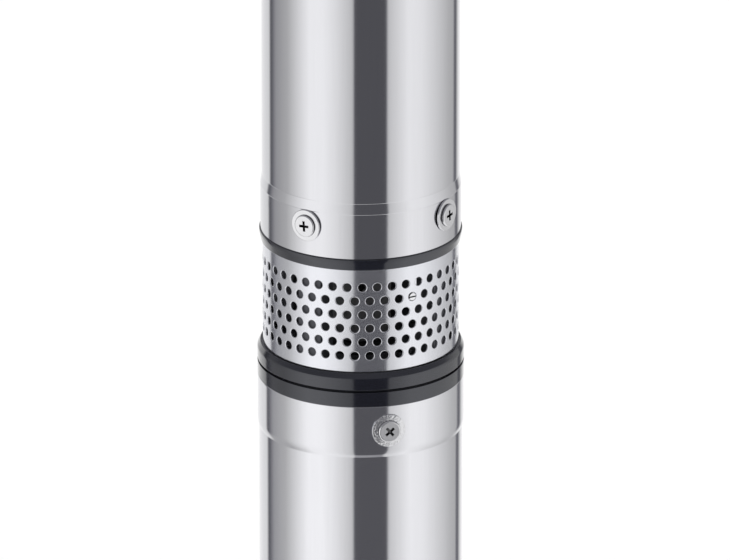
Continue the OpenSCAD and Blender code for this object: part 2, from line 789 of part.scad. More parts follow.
module strainer_hole_tools() {
  for (row = [0:hole_rows - 1]) for (k = [0:holes_per_row - 1]) {
    angle = first_hole_angle + hole_step * (k + (row % 2) / 2);
    z = z_lip_ring - top_margin - row * row_pitch;
    across = strainer_ro * sin(angle - gland_angle);
    behind = cos(angle - gland_angle) > 0;
    near = norm([across, z - z_grommet]) < grommet_keep;
    on_seam = abs(angle - seam_angle) <= hole_step / 2;
    if (!on_seam && !(behind && near))
      outward(angle, strainer_ri - over, z) cylinder(h = strainer_t + 2 * over, d = hole_d);
  }
}

module strainer() {
  color(steel) difference() {
    translate([0, 0, z_strainer - rebate_h]) sleeve(strainer_ro, strainer_ri, strainer_h + 2 * rebate_h);
    strainer_hole_tools();
    outward(gland_angle, strainer_ri - 2, z_grommet) cylinder(h = strainer_t + 4, r = grommet_groove_r);
  }
}

module strainer_tab() {
  z_rivet = z_lip_ring - rivet_drop;
  color(steel) difference() {
    intersection() {
      translate([0, 0, z_rivet - tab_end_r])
        sleeve(strainer_ri - 0.01, strainer_ri - tab_t, rivet_drop + tab_end_r);
      outward(rivet_angle, strainer_ro / 2, z_rivet) linear_extrude(height = strainer_ro)
        translate([tab_shift, 0]) {
          circle(r = tab_end_r);
          translate([-tab_w / 2, 0]) square([tab_w, rivet_drop - edge]);
        }
    }
    outward(rivet_angle, strainer_ri - tab_t - over, z_rivet) cylinder(h = tab_t + 2 * over, r = rivet_r);
  }
}

module strainer_rivet() {
  slot_w = 0.7;
  slot_h = 0.8;
  tail_h = 1.4;
  face_z = tab_t + strainer_t + 0.3;
  color(steel) outward(rivet_angle, strainer_ri - tab_t, z_lip_ring - rivet_drop) difference() {
    union() {
      translate([0, 0, -tail_h]) cylinder(h = tail_h - 0.2, r = rivet_r + 1);
      translate([0, 0, -tail_h / 2]) cylinder(h = tail_h / 2 + face_z, r = rivet_r);
    }
    translate([-hole_d, -slot_w / 2, face_z - slot_h]) cube([2 * hole_d, slot_w, slot_h + over]);
  }
}

module cable_grommet() {
  waist = strainer_t + 1.6; // the flanges stand clear of the curved sheet
  flange = 1.5;
  color(rubber) outward(gland_angle, strainer_ri - 1 - flange, z_grommet) lathe([
    [cable_d / 2, 0], [grommet_r, 0], [grommet_r, flange], [grommet_groove_r - seat_gap, flange],
    [grommet_groove_r - seat_gap, flange + waist], [grommet_r, flange + waist],
    [grommet_r - 0.6, 2 * flange + waist], [cable_d / 2, 2 * flange + waist]
  ]);
}

// Pump tube

module pump_tube() {
  step = pump_flare_h;
  run = pump_flare_h + pump_taper_h;
  color(steel) difference() {
    lathe([
      [pump_end_ri, z_pump_tube], [pump_end_ro, z_pump_tube], [pump_end_ro, z_pump_tube + step],
      [pump_ro, z_pump_tube + run], [pump_ro, z_head - run], [pump_end_ro, z_head - step],
      [pump_end_ro, z_head], [pump_end_ri, z_head], [pump_end_ri, z_head - step], [pump_ri, z_head - run],
      [pump_ri, z_pump_tube + run], [pump_end_ri, z_pump_tube + step]
    ]);
    radial_holes(pump_screw_angles, pump_screw_heights, pump_ri - over, pump_end_ro + over, screw_clear_r);
  }
}

module pump_tube_screws() {
  color(steel) for (z = pump_screw_heights) for (a = pump_screw_angles)
    outward(a, pump_end_ro + seat_gap + washer_t, z) tube_screw(washer_t + pump_tube_wall, 0);
}

module pump_tube_washers() {
  color(steel) for (z = pump_screw_heights) for (a = pump_screw_angles)
    outward(a, pump_end_ro + seat_gap, z) sleeve(washer_d / 2, screw_clear_r, washer_t);
}

module inlet_o_ring() {
  o_ring(spigot_r, z_pump_tube + groove_z);
}

module head_o_ring() {
  o_ring(spigot_r, z_head - groove_z);
}

// Pump shaft, impellers and diffusers

module lower_bush() {
  color(rubber) translate([0, 0, z_lip_ring - hub_drop])
    sleeve(lower_bush_r, coupling_shaft_r + run_fit, hub_drop + lip_ring_h + hub_rise);
}

module pump_shaft() {
  z_end = z_head_low - 0.5;
  color(steel) union() {
    lathe([
      [0, z_joint + 0.2], [coupling_shaft_r - 0.7, z_joint + 0.2], [coupling_shaft_r, z_joint + 0.9],
      [coupling_shaft_r, z_first_hub - 5], [shaft_collar_r, z_first_hub - 5], [shaft_collar_r, z_first_hub],
      [0, z_first_hub]
    ]);
    translate([0, 0, z_first_hub - 1]) hexagon(hex_af, z_stack_nut - z_first_hub + 1);
    translate([0, 0, z_stack_nut - 1]) cylinder(h = z_end - z_stack_nut + 1, r = journal_r);
  }
}

module diffuser(stage) {
  color(stage_grey) translate([0, 0, z_stage + (stage - 1) * stage_h]) {
    lathe([
      [eye_hole_r, 0], [diffuser_ro, 0], [diffuser_ro, stage_h], [diffuser_ri, stage_h],
      [diffuser_ri, floor_t], [eye_hole_r, floor_t]
    ]);
    translate([0, 0, deck_z]) sleeve(deck_r, deck_bore_r, deck_t);
    translate([0, 0, deck_z + deck_t - vane_bite])
      vanes(diffuser_vanes, deck_bore_r + 2, diffuser_ri + vane_bite, -diffuser_blade_angle,
        stage_h - edge - deck_z - deck_t + vane_bite);
  }
}

module impeller(stage) {
  tip_r = impeller_d / 2;
  color(stage_grey) translate([0, 0, z_stage + (stage - 1) * stage_h]) difference() {
    union() {
      lathe([
        [eye_r, hub_start / 2], [neck_r, hub_start / 2], [neck_r, impeller_low], [tip_r, impeller_low],
        [tip_r, impeller_low + shroud_t], [neck_r, impeller_low + shroud_t], [eye_r, impeller_low + shroud_t]
      ]);
      lathe([
        [0, hub_start], [hub_r, hub_start], [hub_r, impeller_top - shroud_t - 4],
        [hub_r + 4, impeller_top - shroud_t], [tip_r, impeller_top - shroud_t], [tip_r, impeller_top],
        [hub_r, impeller_top], [hub_r, hub_start + stage_h], [0, hub_start + stage_h]
      ]);
      translate([0, 0, impeller_low + shroud_t - vane_bite])
        vanes(impeller_vanes, eye_r + 0.5, tip_r - 0.3, impeller_blade_angle,
          impeller_top - impeller_low - 2 * shroud_t + 2 * vane_bite);
    }
    translate([0, 0, hub_start - over]) hexagon(hex_af + 2 * seat_gap, stage_h + 2 * over);
  }
}

module diffuser_1() { diffuser(1); }
module diffuser_2() { diffuser(2); }
module diffuser_3() { diffuser(3); }
module diffuser_4() { diffuser(4); }
module diffuser_5() { diffuser(5); }

module impeller_1() { impeller(1); }
module impeller_2() { impeller(2); }
module impeller_3() { impeller(3); }
module impeller_4() { impeller(4); }
module impeller_5() { impeller(5); }

module shaft_nut() {
  color(steel) translate([0, 0, z_stack_nut]) difference() {
    hexagon(nut_af, nut_h);
    translate([0, 0, -over]) cylinder(h = nut_h + 2 * over, r = journal_r);
  }
}

module top_bearing_bracket() {
  rim_in = chamber_r + 1;
  hub_out = top_bush_r + 3;
  arm_w = 7;
  hub_h = z_head_low - z_top_bush;
  color(stage_grey) {
    translate([0, 0, z_top_bracket]) sleeve(diffuser_ro, rim_in, top_bracket_h);
    translate([0, 0, z_top_bush]) sleeve(hub_out, top_bush_r, hub_h);
    for (k = [0:3]) rotate([0, 0, 90 * k]) translate([hub_out - 1, -arm_w / 2, z_top_bush])
      cube([rim_in + 2 - hub_out, arm_w, hub_h]);
  }
}

module upper_bush() {
  color(rubber) translate([0, 0, z_top_bush])
    sleeve(top_bush_r, journal_r + run_fit, z_head_low - z_top_bush);
}

// Discharge head and check valve

module discharge_head() {
  color(black) difference() {
    union() {
      translate([0, 0, z_head]) lathe([
        [0, -end_spigot_h], [spigot_r, -end_spigot_h], [spigot_r, 0], [lip_r, 0], [lip_r, head_flange_h - 1],
        [lip_r - 1, head_flange_h], [boss_af / 2 + 3, boss_z], [boss_af / 2 - 1, boss_z + 2], [0, boss_z + 2]
      ]);
      translate([0, 0, z_head]) rotate([0, 0, 22.5])
        cylinder(h = head_top, r = boss_af / 2 / cos(22.5), $fn = 8);
      for (side = [0, 180]) rotate([0, 0, side]) {
        translate([lug_x, lug_t / 2, z_head + lug_z]) rotate([90, 0, 0]) cylinder(h = lug_t, r = lug_r);
        translate([boss_af / 2 - 3, -lug_t / 2, z_head + head_flange_h - 1])
          cube([lug_x + lug_r - boss_af / 2 + 3, lug_t, lug_z - head_flange_h + 1]);
        translate([boss_af / 2 - 3, -lug_t / 2, z_head + lug_z - 1])
          cube([lug_x - boss_af / 2 + 3, lug_t, lug_r + 1]);
      }
    }
    translate([0, 0, z_head]) lathe([
      [0, -end_spigot_h - over], [seat_pocket_r, -end_spigot_h - over],
      [seat_pocket_r, seat_ring_h - end_spigot_h], [chamber_r, seat_ring_h - end_spigot_h],
      [chamber_r, chamber_top], [shoulder_r, chamber_top], [shoulder_r, chamber_top + 2],
      [throat_r, outlet_z - 4], [throat_r, outlet_z], [insert_r, outlet_z], [insert_r, head_top + over],
      [0, head_top + over]
    ]);
    groove(spigot_r, z_head - groove_z);
    radial_holes(pump_screw_angles, [pump_screw_heights[1]], skirt_r - over - 3, pump_end_ro, screw_hole_r);
    for (side = [0, 180]) rotate([0, 0, side]) translate([lug_x, lug_t, z_head + lug_z])
      rotate([90, 0, 0]) cylinder(h = 2 * lug_t, d = rope_eye_d);
  }
}

module thread_insert() {
  color(brass) translate([0, 0, z_head + outlet_z]) lathe([
    [outlet_bore_d / 2, 0], [insert_r, 0], [insert_r, outlet_thread_h], [insert_r + 2, outlet_thread_h],
    [insert_r + 2, outlet_thread_h + insert_flange_h - 0.5],
    [insert_r + 1.5, outlet_thread_h + insert_flange_h],
    [outlet_bore_d / 2, outlet_thread_h + insert_flange_h]
  ]);
}

module valve_seat() {
  color(steel) translate([0, 0, z_head_low]) sleeve(seat_pocket_r - seat_gap, port_r, seat_ring_h);
}

module valve_poppet() {
  color(stage_grey) {
    translate([0, 0, z_valve + face_gap + seal_disc_h]) cylinder(h = disc_h, r = disc_r);
    translate([0, 0, z_spring - 1]) cylinder(h = z_guide + guide_hub_h + 1 - z_spring, d = stem_d);
  }
}

module valve_seal() {
  color(rubber) translate([0, 0, z_valve + face_gap]) sleeve(disc_r, port_r - 3, seal_disc_h);
}

module valve_spring() {
  color(steel) translate([0, 0, z_spring]) coil(spring_r, spring_wire_r, spring_h, spring_turns);
}

module valve_guide() {
  rim_in = chamber_r - 3.5;
  arm_w = 5;
  color(stage_grey) translate([0, 0, z_guide]) {
    sleeve(chamber_r, rim_in, guide_h);
    sleeve(guide_hub_r, stem_d / 2 + run_fit, guide_hub_h);
    for (k = [0:2]) rotate([0, 0, 120 * k]) translate([guide_hub_r - 1, -arm_w / 2, 0])
      cube([rim_in + 2 - guide_hub_r, arm_w, guide_h]);
  }
}

// Parts

bottom_cap();
motor_tube();
motor_tube_screws();
motor_cup_washers();
lower_o_ring();
upper_o_ring();
stator_core();
stator_winding();
motor_shaft();
rotor_core();
rotor_end_rings();
lower_bearing_outer_ring();
lower_bearing_inner_ring();
lower_bearing_balls();
upper_bearing_outer_ring();
upper_bearing_inner_ring();
upper_bearing_balls();
motor_bracket();
seal_seat();
seal_ring();
seal_spring();
seal_collar();
sand_slinger();
cable_gland();
gland_grommet();
inlet_body();
bracket_bolts();
coupling();
strainer();
strainer_tab();
strainer_rivet();
cable_grommet();
pump_tube();
pump_tube_screws();
pump_tube_washers();
inlet_o_ring();
lower_bush();
pump_shaft();
diffuser_1();
diffuser_2();
diffuser_3();
diffuser_4();
diffuser_5();
impeller_1();
impeller_2();
impeller_3();
impeller_4();
impeller_5();
shaft_nut();
top_bearing_bracket();
upper_bush();
head_o_ring();
discharge_head();
thread_insert();
valve_seat();
valve_poppet();
valve_seal();
valve_spring();
valve_guide();
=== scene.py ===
# Looks of a borehole submersible pump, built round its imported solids, in metres and in their frame.
import json
import math

import bmesh
import bpy
from mathutils import Matrix, Vector


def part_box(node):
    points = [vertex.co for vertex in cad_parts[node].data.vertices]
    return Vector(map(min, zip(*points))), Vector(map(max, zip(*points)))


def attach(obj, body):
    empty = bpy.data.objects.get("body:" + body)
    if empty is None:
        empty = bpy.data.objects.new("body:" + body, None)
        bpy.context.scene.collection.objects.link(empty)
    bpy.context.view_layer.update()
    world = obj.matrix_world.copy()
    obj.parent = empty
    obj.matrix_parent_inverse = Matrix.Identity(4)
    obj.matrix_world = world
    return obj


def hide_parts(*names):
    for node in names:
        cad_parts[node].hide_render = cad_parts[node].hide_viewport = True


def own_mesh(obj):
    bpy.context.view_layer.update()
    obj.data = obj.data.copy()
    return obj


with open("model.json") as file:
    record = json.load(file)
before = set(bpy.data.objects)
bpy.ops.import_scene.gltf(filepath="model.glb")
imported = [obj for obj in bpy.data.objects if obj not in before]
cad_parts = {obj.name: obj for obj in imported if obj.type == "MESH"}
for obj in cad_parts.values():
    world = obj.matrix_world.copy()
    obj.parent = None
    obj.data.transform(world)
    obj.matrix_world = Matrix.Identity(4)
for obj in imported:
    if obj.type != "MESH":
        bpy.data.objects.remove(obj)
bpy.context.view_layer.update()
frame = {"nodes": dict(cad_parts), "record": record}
scene = bpy.context.scene

# Sizes in millimetres, as the solids have them
MM = 0.001
# Rings and tubes
ring_r = 48.0
lip_r = 47.1
pump_r = 45.8
pump_end_r = 46.5
pump_wall = 1.0
pump_flare_h = 21.5
pump_taper_h = 5.1
motor_r = 47.2
motor_end_r = 47.8
motor_wall = 1.2
motor_flare_h = 22.8
motor_taper_h = 2.4
# Strainer and its seats
strainer_r = 45.45
strainer_t = 0.8
hole_r = 2.0
hole_rim = 0.42
hole_rows = 6
holes_per_row = 41
top_margin = 8.7
bottom_margin = 8.1
rebate = 1.0
rebate_gap = 0.9
lip_gap = 0.45
rim_relief = 2.4
rim_gap = 0.6
flange_chamfer_h = 2.4
lip_chamfer_h = 1.4
first_hole_angle = 0.95
seam_angle = 113.0
# Screws and washers
pump_screw_angle = -32.5
pump_screw_z = 14.5
motor_screw_angle = 15.7
motor_screw_z = 11.9
screw_head_r = 5.2
screw_head_h = 1.2
screw_r = 2.45
screw_l = 9.0
washer_r = 7.6
washer_t = 1.0
cup_washer_r = 7.9
cup_washer_h = 1.2
cup_rim_h = 0.5
washer_bore_r = 2.8
seat_gap = 0.05
# Inside of the intake, the bracket and the cap; a hair keeps two pieces' faces apart
skirt_r = 36.0
column_w = 12.0
column_in = 34.0
column_gap = 0.35
arm_w = 8.0
arm_rise = 4.0
hub_wall = 3.5
nose_r = 19.5
nose_gap = 0.2
seal_r = 16.2
spigot_fit = 0.1
hair = 0.02
upper_bearing_r = 20.0
upper_bearing_w = 12.0
lower_bearing_r = 17.5
lower_bearing_w = 11.0
shaft_bore_r = 11.0
web_h = 4.0
bracket_plate_h = 6.0
ring_band_h = 1.5
ring_over = 0.15
cap_edge = 0.4
cap_chamfer = 2.0
cap_floor_h = 4.0
foot_recess_r = 30.0
foot_recess_h = 1.5
well_r = 10.5
well_h = 5.0
# Cable exit and outlet
cable_r = 3.5
exit_gap = 1.4
exit_keep = 7.0
outlet_r = 19.475
insert_r = 23.475
insert_flange = 2.0
thread_pitch = 2.309
thread_depth = 1.3
boss_r = 29.0
head_flange_h = 6.0
dome_rise = 16.0
outlet_rise = 23.0
eye_rise = 32.0
chamber_r = 33.0
neck_r = 30.0
guide_h = 6.0
lug_x = 37.5
lug_t = 9.0
rope_eye_r = 5.0
lug_r = 8.2
# Valve spring
spring_wire_r = 0.7
spring_turns = 4


def heights(node):
    """Lowest and highest Z of a node, in millimetres."""
    low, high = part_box(node)
    return low.z / MM, high.z / MM


z_motor_tube, z_bracket = heights("motor_tube")
z_bracket_low, z_nose = heights("motor_bracket")
z_inlet, z_stage = heights("inlet_body")
z_strainer = heights("strainer")[0] + rebate
z_lip = heights("strainer")[1] - rebate
z_pump_tube, z_head = heights("pump_tube")
z_head_low, z_head_top = heights("discharge_head")
z_cap_top = heights("bottom_cap")[1]
z_grommet = sum(heights("cable_grommet")) / 2
z_bush_low, z_bush_top = heights("lower_bush")
bush_r = (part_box("lower_bush")[1].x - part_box("lower_bush")[0].x) / 2 / MM
z_step = z_bracket - motor_flare_h
z_flange = z_head + head_flange_h
z_boss = z_flange + dome_rise
z_outlet = z_flange + outlet_rise
z_eye = z_flange + eye_rise
z_chamber = heights("valve_guide")[0] + guide_h
z_seat = heights("valve_seat")[1]
pump_in = pump_r - pump_wall
pump_end_in = pump_end_r - pump_wall
motor_in = motor_r - motor_wall
motor_end_in = motor_end_r - motor_wall
spigot_r = pump_end_in - spigot_fit


# Node trees: a value that can be reckoned with, and a tree that adds nodes


def operator(operation, swapped=False):
    """A method that adds a Math node for a value and another one."""
    def method(self, other):
        first, second = (other, self) if swapped else (self, other)
        return self.nodes.math(operation, first, second)
    return method


class Value:
    """An output socket; arithmetic on it adds Math nodes to its tree."""

    def __init__(self, nodes, socket):
        self.nodes = nodes
        self.socket = socket

    __add__ = __radd__ = operator("ADD")
    __sub__ = operator("SUBTRACT")
    __rsub__ = operator("SUBTRACT", swapped=True)
    __mul__ = __rmul__ = operator("MULTIPLY")
    __truediv__ = operator("DIVIDE")
    __mod__ = operator("MODULO")
    __pow__ = operator("POWER")
    __lt__ = operator("LESS_THAN")


class Nodes:
    """A node tree that is written as expressions."""

    def __init__(self, tree):
        self.tree = tree

    def feed(self, socket, value):
        if isinstance(value, Value):
            self.tree.links.new(value.socket, socket)
        else:
            socket.default_value = value

    def node(self, kind, sockets=None, output=0, **settings):
        """Adds a node: its settings are set first, then the values or links of its sockets."""
        made = self.tree.nodes.new(kind)
        for name, value in settings.items():
            if name == "stops":
                self.set_stops(made.color_ramp, value)
            else:
                setattr(made, name, value)
        for name, value in (sockets or {}).items():
            self.feed(made.inputs[name], value)
        return Value(self, made.outputs[output])

    def set_stops(self, ramp, stops):
        while len(ramp.elements) < len(stops):
            ramp.elements.new(1.0)
        for element, (position, level) in zip(ramp.elements, stops):
            element.position = position
            element.color = (level, level, level, 1.0)

    def math(self, operation, first, second=0.0):
        return self.node("ShaderNodeMath", {0: first, 1: second}, operation=operation)

    def smooth(self, value, low, high):
        """0 below low, 1 above high, with a smooth rise between."""
        sockets = {"Value": value, "From Min": low, "From Max": high}
        return self.node("ShaderNodeMapRange", sockets, interpolation_type="SMOOTHSTEP")

    def vector(self, x, y, z):
        return self.node("ShaderNodeCombineXYZ", {"X": x, "Y": y, "Z": z})

    def parts(self, vector):
        split = self.node("ShaderNodeSeparateXYZ", {"Vector": vector})
        return [Value(self, socket) for socket in split.socket.node.outputs]


class Finish(Nodes):
    """A surface finish: a shader fed by patterns in the piece's own space."""

    def __init__(self, name):
        self.material = bpy.data.materials.new(name)
        self.material.use_nodes = True
        super().__init__(self.material.node_tree)
        self.tree.nodes.clear()
        self.shader = self.tree.nodes.new("ShaderNodeBsdfPrincipled")
        output = self.tree.nodes.new("ShaderNodeOutputMaterial")
        self.tree.links.new(self.shader.outputs[0], output.inputs["Surface"])
        self.place = self.node("ShaderNodeTexCoord", output="Object")

    def noise(self, scale, stretch=(1.0, 1.0, 1.0), detail=3.0, roughness=0.5):
        """Soft noise with so many lumps a metre, drawn out along an axis by a small stretch."""
        size = [scale * part for part in stretch]
        spread = self.node("ShaderNodeMapping", {"Vector": self.place, "Scale": size})
        sockets = {"Vector": spread, "Scale": 1.0, "Detail": detail, "Roughness": roughness}
        return self.node("ShaderNodeTexNoise", sockets)

    def specks(self, scale, size):
        """Small round specks: 1 inside a speck and 0 outside."""
        spread = self.node("ShaderNodeMapping", {"Vector": self.place, "Scale": [scale] * 3})
        distance = self.node("ShaderNodeTexVoronoi", {"Vector": spread, "Scale": 1.0})
        return 1.0 - self.smooth(distance, size * 0.5, size)

    def facing_axis(self, radius):
        """1 where a surface at a radius from the Z axis faces that axis, 0 where it faces away."""
        x, y = self.parts(self.place)[:2]
        across, along = self.parts(self.node("ShaderNodeNewGeometry", output="Normal"))[:2]
        return self.smooth((x * across + y * along) / -radius, 0.4, 0.7)

    def blend(self, factor, first, second):
        """A colour between two colours."""
        sockets = {"Factor": factor}
        for index, colour in ((6, first), (7, second)):
            sockets[index] = colour if isinstance(colour, Value) else (*colour, 1.0)
        return self.node("ShaderNodeMix", sockets, 2, data_type="RGBA")

    def relief(self, height, distance):
        return self.node("ShaderNodeBump", {"Height": height, "Distance": distance})

    def set(self, **sockets):
        """Sets the shader's sockets; an underscore stands for a space in a socket's name."""
        for name, value in sockets.items():
            self.feed(self.shader.inputs[name.replace("_", " ")], value)


# Finishes

cool = (0.87, 0.9, 1.0)


def shade(colour, factor):
    return tuple(min(1.0, part * factor) for part in colour)


def metal(name, colour, roughness, grain=(1.0, 1.0, 0.01), grain_scale=2600.0, relief=0.0, tarnish=0.05,
          bare=1.0, sleeve_r=0.0, painted_recess_shade=0.0):
    """Bare metal: cloudy polish, drawn grain along one axis, and a little tarnish where it is handled.

    A finish for a sleeve of a given radius is dull and stained on the side that faces the axis.
    One given painted recess shade has shade painted into its recesses and corners of about that size in
    millimetres.
    """
    finish = Finish(name)
    cloud = finish.noise(38.0, detail=4.0)
    lines = finish.noise(grain_scale, grain, detail=2.0)
    spots = finish.noise(420.0, detail=5.0, roughness=0.7)
    worn = finish.smooth(cloud * 0.6 + spots * 0.4, 0.45, 0.75)
    fresh = finish.blend(lines, shade(colour, 0.96), shade(colour, 1.03))
    polished = finish.blend(worn * tarnish * 4.0, fresh, shade(colour, 0.8))
    # Painted shade: ambient occlusion darkens the colour in recesses and corners, such as a screw's cross
    # and the joints of head, washer and tube
    if painted_recess_shade:
        opening = finish.node("ShaderNodeAmbientOcclusion", {"Distance": painted_recess_shade * MM}, "AO", samples=12)
        deep = 1.0 - finish.smooth(opening, 0.45, 0.85)
        polished = finish.blend(deep, polished, shade(colour, 0.2))
    gloss = roughness + (lines - 0.5) * roughness * 0.5 + worn * tarnish
    finish.set(Base_Color=polished, Metallic=bare, Roughness=gloss)
    if sleeve_r:
        inside = finish.facing_axis(sleeve_r)
        stain = finish.blend(spots, (0.13, 0.13, 0.145), (0.2, 0.2, 0.215))
        finish.set(
            Base_Color=finish.blend(inside, polished, stain),
            Metallic=bare - inside * 0.8,
            Roughness=gloss + inside * 0.45,
        )
    if relief:
        finish.set(Normal=finish.relief(lines * 0.7 + spots * 0.3, relief * MM))
    return finish.material


def moulded(name, colour, roughness, coat=0.0, relief=0.01, peel_scale=900.0, dull_r=0.0):
    """Moulded or coated surface: a fine peel, flow marks, dust in the low spots and a clear skin.

    Nearer to the Z axis than a given radius the surface is left dull, grey and without the skin.
    """
    finish = Finish(name)
    peel = finish.noise(peel_scale, detail=2.0)
    flow = finish.noise(60.0, (1.0, 1.0, 0.4), detail=4.0)
    dust = finish.specks(700.0, 0.12) * finish.smooth(flow, 0.45, 0.7)
    skin = finish.blend(dust * 0.35 + flow * 0.25, colour, shade(colour, 1.8))
    gloss = roughness + (flow - 0.5) * 0.08 + dust * 0.2
    finish.set(Base_Color=skin, Roughness=gloss, Normal=finish.relief(peel, relief * MM))
    if coat:
        finish.set(Coat_Weight=coat, Coat_Roughness=0.05, IOR=1.6, Specular_Tint=(*cool, 1.0))
    if dull_r:
        x, y = finish.parts(finish.place)[:2]
        inside = 1.0 - finish.smooth((x * x + y * y) ** 0.5, dull_r - 0.2 * MM, dull_r)
        grey = finish.blend(flow, (0.05, 0.05, 0.056), (0.08, 0.08, 0.088))
        finish.set(
            Base_Color=finish.blend(inside, skin, grey),
            Roughness=gloss + inside * 0.5,
            Coat_Weight=coat * (1.0 - inside),
        )
    return finish.material


def soft_rubber(name, colour):
    """Matt rubber with a fine bloom and moulding grain."""
    finish = Finish(name)
    bloom = finish.noise(120.0, detail=5.0)
    grain = finish.noise(2400.0, detail=2.0)
    finish.set(
        Base_Color=finish.blend(finish.smooth(bloom, 0.4, 0.75), colour, shade(colour, 2.2)),
        Roughness=0.62 + bloom * 0.2,
        Normal=finish.relief(grain, 0.02 * MM),
    )
    return finish.material


def sheet_stack(name, colour):
    """The edges of stacked sheets: fine level lines, darker between the sheets."""
    finish = Finish(name)
    z = finish.parts(finish.place)[2]
    line = finish.math("PINGPONG", z / (0.5 * MM), 1.0)
    rust = finish.noise(160.0, detail=5.0)
    finish.set(
        Base_Color=finish.blend(line * 0.6 + rust * 0.3, shade(colour, 0.7), shade(colour, 1.2)),
        Metallic=1.0,
        Roughness=0.38 + rust * 0.25,
        Normal=finish.relief(line, 0.05 * MM),
    )
    return finish.material


def wound_wire(name, colour):
    """Enamelled wire, wound in strands: fine ridges with varnish over them."""
    finish = Finish(name)
    x, y, z = finish.parts(finish.place)
    around = finish.math("ARCTAN2", x, y)
    strand = finish.math("PINGPONG", around * 60.0 + z / (1.3 * MM), 1.0)
    varnish = finish.noise(90.0, detail=4.0)
    finish.set(
        Base_Color=finish.blend(strand * 0.5 + varnish * 0.5, shade(colour, 0.55), shade(colour, 1.1)),
        Metallic=0.7,
        Roughness=0.3 + varnish * 0.25,
        Coat_Weight=0.4,
        Normal=finish.relief(strand, 0.2 * MM),
    )
    return finish.material


steel = (0.79, 0.79, 0.82)
cool_steel = (0.85, 0.858, 0.905)
bright = (0.88, 0.88, 0.9)
black = (0.0063, 0.0068, 0.0125)
even = (1.0, 1.0, 1.0)
turned_grain = (0.02, 0.02, 1.0)
# In order: colour, roughness, stretch of the grain, its lumps a metre, relief in millimetres, tarnish
tube_steel = metal("polished_tube_steel", steel, 0.09, relief=0.0004, tarnish=0.015)
motor_steel = metal("polished_motor_tube_steel", shade(steel, 1.07), 0.09, relief=0.0004, tarnish=0.015,
                    bare=0.99)
sheet_steel = metal("perforated_sheet_steel", cool_steel, 0.12, (1.0, 1.0, 0.02), 1900.0, 0.0004, 0.02,
                    bare=0.945, sleeve_r=strainer_r * MM)
# Fasteners and washers get painted shade in their recesses and in the corners where they meet
screw_steel = metal("bright_fastener_steel", bright, 0.2, even, 1500.0, 0.001, 0.04, painted_recess_shade=3.2)
washer_steel = metal("stamped_washer_steel", bright, 0.2, (1.0, 1.0, 0.2), 1200.0, 0.002, 0.04, painted_recess_shade=0.5)
dished_steel = metal("scuffed_dished_washer_steel", bright, 0.22, even, 1000.0, 0.4, 0.1, painted_recess_shade=0.5)
shaft_steel = metal("ground_shaft_steel", (0.66, 0.66, 0.67), 0.24, turned_grain, 4000.0, 0.003, 0.06)
dull_steel = metal("dull_coupling_steel", (0.2, 0.2, 0.21), 0.5, (1.0, 1.0, 0.05), 1500.0, 0.01, 0.1,
                   bare=0.3)
spring_steel = metal("drawn_spring_steel", (0.6, 0.6, 0.61), 0.3, even, 1600.0, 0.004, 0.08)
cast_aluminium = metal("cast_rotor_aluminium", (0.68, 0.69, 0.7), 0.42, even, 700.0, 0.02, 0.08)
machined_brass = metal("machined_brass", (0.73, 0.56, 0.26), 0.22, turned_grain, 2500.0, 0.004, 0.07)
lamination = sheet_stack("stacked_motor_sheets", (0.34, 0.35, 0.37))
copper_wire = wound_wire("varnished_copper_winding", (0.62, 0.3, 0.14))
# In order: colour, roughness, clear skin, relief in millimetres, lumps of its peel a metre
gloss_black = moulded("gloss_black_moulding", black, 0.12, 1.0, 0.002)
intake_black = moulded("gloss_black_intake_moulding", black, 0.12, 1.0, 0.002,
                       dull_r=(strainer_r - 0.9) * MM)
coated_black = moulded("gloss_black_coating", black, 0.13, 1.0, 0.003, 600.0)
stage_plastic = moulded("glass_filled_stage_plastic", (0.06, 0.065, 0.07), 0.45, 0.0, 0.02, 1400.0)
carbon = moulded("lapped_carbon", (0.03, 0.03, 0.032), 0.3, 0.0, 0.003, 2000.0)
ceramic = moulded("lapped_ceramic", (0.78, 0.76, 0.71), 0.2, 0.2, 0.002, 1500.0)
rubber = soft_rubber("black_rubber", (0.018, 0.018, 0.019))


# Meshes


def rounded(corners):
    """Turns (radius, height, softness) corners of a section, in millimetres, into points in metres.

    A corner with softness becomes an arc that starts so far from it, with a support point beyond each end.
    """
    points = []
    arc_steps = 4
    arc_share, support_share = 0.4, 0.48
    support_reach = 1.5
    for k, (r, z, softness) in enumerate(corners):
        here = Vector((r, z))
        if not softness:
            points.append(here * MM)
            continue
        arc_ends = []
        supports = []
        for other in (corners[k - 1], corners[(k + 1) % len(corners)]):
            edge = Vector(other[:2]) - here
            way = edge.normalized()
            reach = min(softness, edge.length * arc_share)
            arc_ends.append(here + way * reach)
            supports.append(here + way * min(reach * support_reach, edge.length * support_share))
        start, end = arc_ends
        points.append(supports[0] * MM)
        for step in range(arc_steps + 1):
            t = step / arc_steps
            points.append((start * (1 - t) ** 2 + here * 2 * t * (1 - t) + end * t ** 2) * MM)
        points.append(supports[1] * MM)
    return points


def add_turned(bm, corners, segments=256, closed=True):
    """Turns a section about Z; its last point joins its first unless both lie on the axis or it is open."""
    section = rounded(corners)
    on_axis = 1e-9
    rings = []
    for k in range(segments):
        angle = 2 * math.pi * k / segments
        rings.append([bm.verts.new((p.x * math.sin(angle), -p.x * math.cos(angle), p.y)) for p in section])
    for k, ring in enumerate(rings):
        following = rings[(k + 1) % segments]
        for j in range(len(section) if closed else len(section) - 1):
            i = (j + 1) % len(section)
            if section[j].x < on_axis and section[i].x < on_axis:
                continue
            bm.faces.new((ring[j], following[j], following[i], ring[i]))


def add_loops(bm, loops):
    """Joins loops of points, each with the same count, by strips of faces."""
    rings = [[bm.verts.new(p) for p in loop] for loop in loops]
    for ring, following in zip(rings, rings[1:]):
        for k in range(len(ring)):
            near = (k + 1) % len(ring)
            bm.faces.new((ring[k], ring[near], following[near], following[k]))
    return rings


